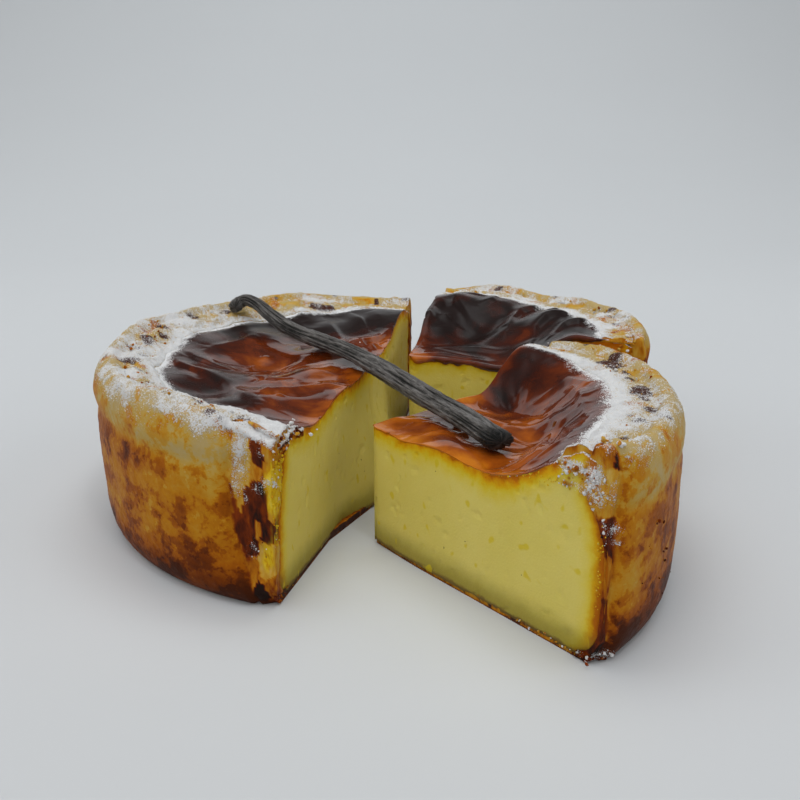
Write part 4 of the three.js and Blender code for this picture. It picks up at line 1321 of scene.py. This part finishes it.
def sown_grains(dressed):
    """The tree that sows small round grains over the dressed pieces, as their sugar is painted."""
    tree, recipe, known, given, put = new_pattern("Sown sugar grains", [
        ("Most per square metre", "Float"), ("Smallest", "Float"), ("Largest", "Float"), ("Seed", "Int"),
        ("Material", "Material")])
    join = recipe.node("GeometryNodeJoinGeometry")
    for piece in dressed:
        info = recipe.made("GeometryNodeObjectInfo", {"Object": piece}, transform_space="ORIGINAL")
        recipe.feed(join.inputs[0], info["Geometry"])
    amount = recipe.made("GeometryNodeInputNamedAttribute", {"Name": "sugar"}, data_type="FLOAT")["Attribute"]
    # Grains thin out again where the sugar is so thick that it covers all.
    share = recipe.math("MULTIPLY", recipe.between(amount, 0.15, 0.5),
                        recipe.math("MULTIPLY_ADD", recipe.between(amount, 0.8, 1.0), -0.75, 1.0))
    sown = recipe.made("GeometryNodeDistributePointsOnFaces", {
        "Mesh": join.outputs[0], "Density": recipe.math("MULTIPLY", share, given["Most per square metre"]),
        "Seed": given["Seed"]}, distribute_method="RANDOM")["Points"]
    ball = recipe.made("GeometryNodeMeshIcoSphere", {"Radius": 1.0, "Subdivisions": 1})["Mesh"]
    size = recipe.made("FunctionNodeRandomValue", {
        2: given["Smallest"], 3: given["Largest"], "Seed": given["Seed"]}, data_type="FLOAT")[1]
    planted(recipe, given, put, sown, ball, size)
    return tree, known


def lumpy_crumbs():
    """The tree that puts a lumpy crumb on each point, in the size that the point carries."""
    tree, recipe, known, given, put = new_pattern("Lumpy crumbs", [
        ("Lumps", "Float"), ("Seed", "Int"), ("Material", "Material")])
    ball = recipe.made("GeometryNodeMeshUVSphere", {"Segments": 7, "Rings": 5})["Mesh"]
    bumps = recipe.made("ShaderNodeTexNoise", {
        "Vector": recipe.node("GeometryNodeInputPosition").outputs[0], "Scale": 1.3})["Color"]
    push = recipe.made("ShaderNodeVectorMath", {0: bumps, 1: (0.5, 0.5, 0.5)}, operation="SUBTRACT")[0]
    scaled = recipe.made("ShaderNodeVectorMath", {0: push, "Scale": given["Lumps"]}, operation="SCALE")[0]
    lumpy = recipe.made("GeometryNodeSetPosition", {"Geometry": ball, "Offset": scaled})[0]
    size = recipe.made("GeometryNodeInputNamedAttribute", {"Name": "size"}, data_type="FLOAT")["Attribute"]
    squash = recipe.made("FunctionNodeRandomValue", {
        0: (0.6, 0.6, 0.5), 1: (1.3, 1.0, 0.9), "Seed": given["Seed"]}, data_type="FLOAT_VECTOR")[0]
    wide = recipe.made("ShaderNodeVectorMath", {0: squash, "Scale": size}, operation="SCALE")[0]
    planted(recipe, given, put, given["Geometry"], lumpy, wide)
    return tree, known


# Where crumbs lie: slice, place ("cut 0", "cut 1": distance along and height; "wall": angle and height;
# "rim": angle and radius), the two numbers of the middle, how far they spread each way, how far out,
# how many, smallest and largest (mm across), how baked, and how large a share of them is sugared.
PASTRY_CRUMBS = [
    ("half", "cut 1", 73.5, 47.4, 3.6, 1.5, 0.6, 46, 0.5, 1.5, 0.80, 0.6),
    ("half", "cut 1", 68.6, 45.4, 1.8, 1.2, 0.8, 14, 0.6, 1.6, 0.75, 0.3),
    ("half", "cut 1", 80.0, 44.6, 3.0, 1.6, 0.5, 20, 0.6, 1.6, 0.50, 0.3),
    ("half", "cut 1", 84.0, 1.4, 5.0, 0.9, 0.3, 26, 0.5, 1.5, 0.62, 0.0),
    ("front", "cut 0", 78.6, 49.8, 3.4, 0.9, 0.9, 34, 0.5, 1.6, 0.45, 0.8),
    ("front", "cut 0", 83.4, 46.0, 2.2, 2.4, 0.5, 30, 0.5, 1.4, 0.42, 0.55),
    ("front", "cut 0", 75.6, 45.8, 2.4, 0.8, 0.4, 14, 0.4, 1.0, 0.35, 0.6),
    ("front", "cut 0", 87.8, 36.6, 1.0, 2.4, 0.3, 12, 0.4, 1.0, 0.80, 0.5),
    ("front", "cut 0", 85.0, 1.4, 2.4, 0.9, 0.6, 60, 0.4, 1.4, 0.80, 0.15),
    ("front", "cut 0", 72.0, 0.9, 10.0, 0.5, 0.2, 34, 0.4, 0.9, 0.40, 0.1),
    ("front", "wall", 256.0, 1.6, 1.6, 1.0, 0.3, 30, 0.4, 1.4, 0.80, 0.25),
    ("front", "wall", 271.0, 21.0, 4.6, 7.0, 0.4, 14, 0.4, 1.2, 0.66, 0.25),
    ("front", "rim", 257.5, 84.0, 1.6, 2.0, 0.5, 16, 0.6, 1.8, 0.30, 0.5),
    ("half", "rim", 190.0, 79.0, 26.0, 3.0, 0.3, 60, 0.5, 1.5, 0.50, 0.3),
    ("half", "rim", 236.0, 80.0, 14.0, 3.0, 0.3, 36, 0.5, 1.4, 0.40, 0.5),
    ("front", "rim", 300.0, 81.0, 26.0, 3.0, 0.3, 60, 0.5, 1.4, 0.35, 0.4),
    ("back", "rim", 20.0, 80.0, 26.0, 3.0, 0.3, 50, 0.5, 1.4, 0.35, 0.3),
    ("back", "cut 0", 79.0, 46.0, 2.6, 3.0, 0.4, 24, 0.6, 1.8, 0.38, 0.2),
    ("half", "wall", 251.6, 17.8, 0.9, 1.6, 0.2, 10, 0.4, 0.9, 0.90, 0.4),
]
CUSTARD_CRUMBS = [
    ("half", "cut 1", 83.4, 36.0, 1.8, 5.0, 0.35, 70, 0.4, 1.2, 0.10, 0.05),
    ("half", "cut 1", 81.6, 41.0, 1.6, 2.0, 0.35, 22, 0.4, 1.1, 0.10, 0.1),
    ("half", "cut 1", 84.8, 25.0, 0.8, 5.0, 0.2, 26, 0.4, 1.0, 0.10, 0.05),
    ("half", "cut 1", 84.6, 36.4, 1.0, 0.7, 0.7, 16, 0.4, 1.0, 0.10, 1.0),
    ("front", "cut 0", 66.0, 44.6, 8.0, 1.0, 0.1, 36, 0.4, 1.0, 0.10, 0.05),
    ("front", "cut 0", 86.4, 27.0, 0.7, 8.0, 0.1, 26, 0.4, 1.0, 0.10, 0.02),
]


def crumb_points(name, rows, yellow, seed):
    """A mesh of loose points, one for each crumb."""
    chance = np.random.default_rng(seed)
    spots, values = [], {"size": [], "bake": [], "sugar": []}
    for slice_name, kind, u, v, wide, tall, out, count, small, large, bake, sugar in rows:
        piece = SLICES[slice_name]
        u = u + wide * np.clip(chance.normal(size=count), -1.8, 1.8)
        v = v + tall * np.clip(chance.normal(size=count), -1.8, 1.8)
        width = small + (large - small) * chance.random(count) ** 2.2
        lift = out * chance.random(count)
        if kind.startswith("cut"):
            end = int(kind[-1])
            top = skin_height(slice_name, *polar(np.minimum(u, SKIN_EDGE), piece["cuts"][end]))
            v = np.where(u < SKIN_EDGE, np.minimum(v, top - 0.8), v)
            v = np.maximum(v, 0.75 * width)
            u = np.minimum(u, wall_radius(piece, piece["cuts"][end], v) - 0.3)
            x, y = on_cut(slice_name, end, u, cut_wobble(slice_name, end, u, v) + lift)
            z = v
        elif kind == "wall":
            v = np.maximum(v, 0.75 * width)
            x, y = polar(wall_radius(piece, u, v) + lift, u)
            z = v
        else:
            x, y = polar(v, u)
            z = np.where(v > 81.5, crest_height(piece, u) - 0.2, top_height(piece, x, y) + 0.5) + lift
        spots.append(placed(piece, x, y, z))
        values["size"].append(0.5 * MM * width)
        values["bake"].append(bake + 0.12 * chance.normal(size=count))
        values["sugar"].append(np.where(chance.random(count) < sugar, 1.1, 0.06))
    spots = np.concatenate(spots)
    mesh = bpy.data.meshes.new(name)
    mesh.from_pydata((spots * MM).tolist(), [], [])
    for key, given in values.items():
        mesh.attributes.new(key, "FLOAT", "POINT").data.foreach_set("value", np.concatenate(given))
    for key, given in (("yellow", yellow), ("inner", 1.0)):
        mesh.attributes.new(key, "FLOAT", "POINT").data.foreach_set("value", np.full(len(spots), given))
    return mesh


# ---- Build ----------------------------------------------------------------------------------------------

sugar_group = powdered_sugar()
pastry = pastry_material(sugar_group)
custard = custard_material(sugar_group)
skin = skin_material(sugar_group)

dressed = []
for name in SLICES:
    filling = make_custard(name, [custard, skin])
    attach(filling, "root")
    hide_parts("custard_" + name)
    case = make_pastry(name, [pastry])
    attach(case, "root")
    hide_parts("crust_" + name)
    dressed += [case, filling]

pod = make_pod([pod_material()])
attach(pod, "root")
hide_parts("vanilla_pod")

pattern, known = sown_grains(dressed)
grains = grown("sugar_grains", bpy.data.meshes.new("grain seed"), pattern, known, {
    "Most per square metre": 0.75e6, "Smallest": 0.00011, "Largest": 0.00024, "Seed": 4,
    "Material": grain_material()})
pattern, known = lumpy_crumbs()
loose = {"Lumps": 1.1, "Seed": 2, "Material": pastry}
crumb_seed = crumb_points("crumb seed", PASTRY_CRUMBS, yellow=0.0, seed=21)
crumbs = grown("pastry_crumbs", crumb_seed, pattern, known, loose)
curd_seed = crumb_points("curd seed", CUSTARD_CRUMBS, yellow=1.0, seed=22)
curds = grown("custard_crumbs", curd_seed, pattern, known, loose)
for piece, slot in ((grains, "pastry"), (crumbs, "pastry"), (curds, "custard")):
    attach(piece, "root")

# ---- Stage, light and camera ------------------------------------------------------------------------

# The table's reach to each side and forward, and where and how far it bends up, in metres.
TABLE_REACH = 3.0
BEND_START, BEND_DEPTH, BEND_HEIGHT = 0.5, 1.3, 0.9

# The photograph's place and lens, worked out from the slices' outlines.
SENSOR_WIDTH = 36.0
LENS_IN_PIXELS = 890.35
PICTURE_WIDTH = 800.0
CAMERA_PLACE = (0.003588, -0.301440, 0.130601)
CAMERA_TILT = 18.1466       # degrees down from level


def make_stage():
    """A pale table that curves up into the backdrop."""
    across = np.linspace(-TABLE_REACH, TABLE_REACH, 9)
    bend = np.linspace(0.0, math.pi / 2, 16)
    profile = [(-TABLE_REACH, 0.0), (BEND_START, 0.0)]
    profile += [(BEND_START + BEND_DEPTH * math.sin(t), BEND_HEIGHT - BEND_HEIGHT * math.cos(t))
                for t in bend[1:11]]
    spots = [(x, y, z) for y, z in profile for x in across]
    wide = len(across)
    faces = [(r * wide + c, r * wide + c + 1, (r + 1) * wide + c + 1, (r + 1) * wide + c)
             for r in range(len(profile) - 1) for c in range(wide - 1)]
    mesh = bpy.data.meshes.new("stage")
    mesh.from_pydata(spots, [], faces)
    mesh.polygons.foreach_set("use_smooth", [True] * len(mesh.polygons))
    stage = bpy.data.objects.new("stage", mesh)
    bpy.context.scene.collection.objects.link(stage)
    material, recipe, surface = new_material("Pale table")
    shade = recipe.noise(recipe.spot(), 3.0)
    recipe.feed(surface["Base Color"], recipe.blend(shade, (0.545, 0.560, 0.572), (0.565, 0.580, 0.592)))
    surface["Roughness"].default_value = 0.75
    mesh.materials.append(material)


def make_light(name, place, target, size, power, colour, seen):
    """A round soft light, seen in reflections or not."""
    lamp = bpy.data.lights.new(name, "AREA")
    lamp.shape, lamp.size, lamp.energy, lamp.color = "DISK", size, power, colour
    light = bpy.data.objects.new(name, lamp)
    light.location = place
    light.rotation_euler = (Vector(target) - Vector(place)).to_track_quat("-Z", "Y").to_euler()
    light.visible_glossy = seen
    bpy.context.scene.collection.objects.link(light)


def make_camera():
    camera = bpy.data.cameras.new("camera")
    camera.sensor_fit, camera.sensor_width = "HORIZONTAL", SENSOR_WIDTH
    camera.lens = LENS_IN_PIXELS / PICTURE_WIDTH * SENSOR_WIDTH
    camera.clip_start, camera.clip_end = 0.01, 20.0
    eye = bpy.data.objects.new("camera", camera)
    eye.location = CAMERA_PLACE
    eye.rotation_euler = (math.radians(90.0 - CAMERA_TILT), 0.0, 0.0)
    bpy.context.scene.collection.objects.link(eye)
    bpy.context.scene.camera = eye


def make_view():
    """Colours as they are measured, without a film look."""
    bpy.context.scene.view_settings.view_transform = "Standard"


def make_world():
    """Soft daylight: bright above and in front, dim high up behind."""
    world = bpy.data.worlds.new("soft daylight")
    world.use_nodes = True
    recipe = Recipe(world.node_tree)
    ground = world.node_tree.nodes["Background"]
    split = recipe.node("ShaderNodeSeparateXYZ")
    recipe.feed(split.inputs[0], recipe.node("ShaderNodeTexCoord").outputs["Generated"])
    height = recipe.math("MULTIPLY_ADD", split.outputs["Z"], 0.5, 0.5)
    front = recipe.ramp(height, [
        (0.0, (0.20, 0.204, 0.208)), (0.55, (0.20, 0.204, 0.208)), (0.75, (0.13, 0.133, 0.136)),
        (0.97, (0.42, 0.43, 0.44))])
    behind = recipe.ramp(height, [
        (0.0, (0.50, 0.51, 0.52)), (0.55, (0.56, 0.575, 0.585)), (0.70, (0.52, 0.53, 0.54)),
        (0.725, (0.07, 0.07, 0.072)), (0.90, (0.09, 0.09, 0.092)), (0.97, (0.60, 0.62, 0.63))])
    side = recipe.between(split.outputs["Y"], -0.1, 0.25)
    recipe.feed(ground.inputs["Color"], recipe.blend(side, front, behind))
    ground.inputs["Strength"].default_value = 1.0
    bpy.context.scene.world = world


make_stage()
make_view()
make_world()
for name, place, target, size, power, colour in (
    ("soft overhead", (-0.15, 0.0, 1.6), (0.0, 0.02, 0.0), 1.9, 13.0, (0.97, 0.985, 1.0)),
    ("front fill", (-0.5, -1.5, 1.0), (0.0, 0.0, 0.03), 2.0, 10.5, (1.0, 0.99, 0.975)),
    ("left fill", (-1.6, 0.1, 1.0), (0.0, 0.0, 0.03), 1.4, 4.0, (0.985, 0.99, 1.0)),
    ("right fill", (1.5, -0.3, 0.9), (0.0, 0.0, 0.03), 1.4, 5.0, (0.985, 0.99, 1.0)),
    ("backdrop light", (0.0, 0.3, 1.3), (0.0, 1.8, 0.5), 0.9, 7.4, (0.93, 0.98, 1.0)),
):
    make_light(name, place, target, size, power, colour, seen=False)
make_light("small lamp", (0.25, -0.5, 1.1), (0.0, 0.0, 0.04), 0.12, 1.0, (1.0, 1.0, 1.0), seen=True)
make_camera()
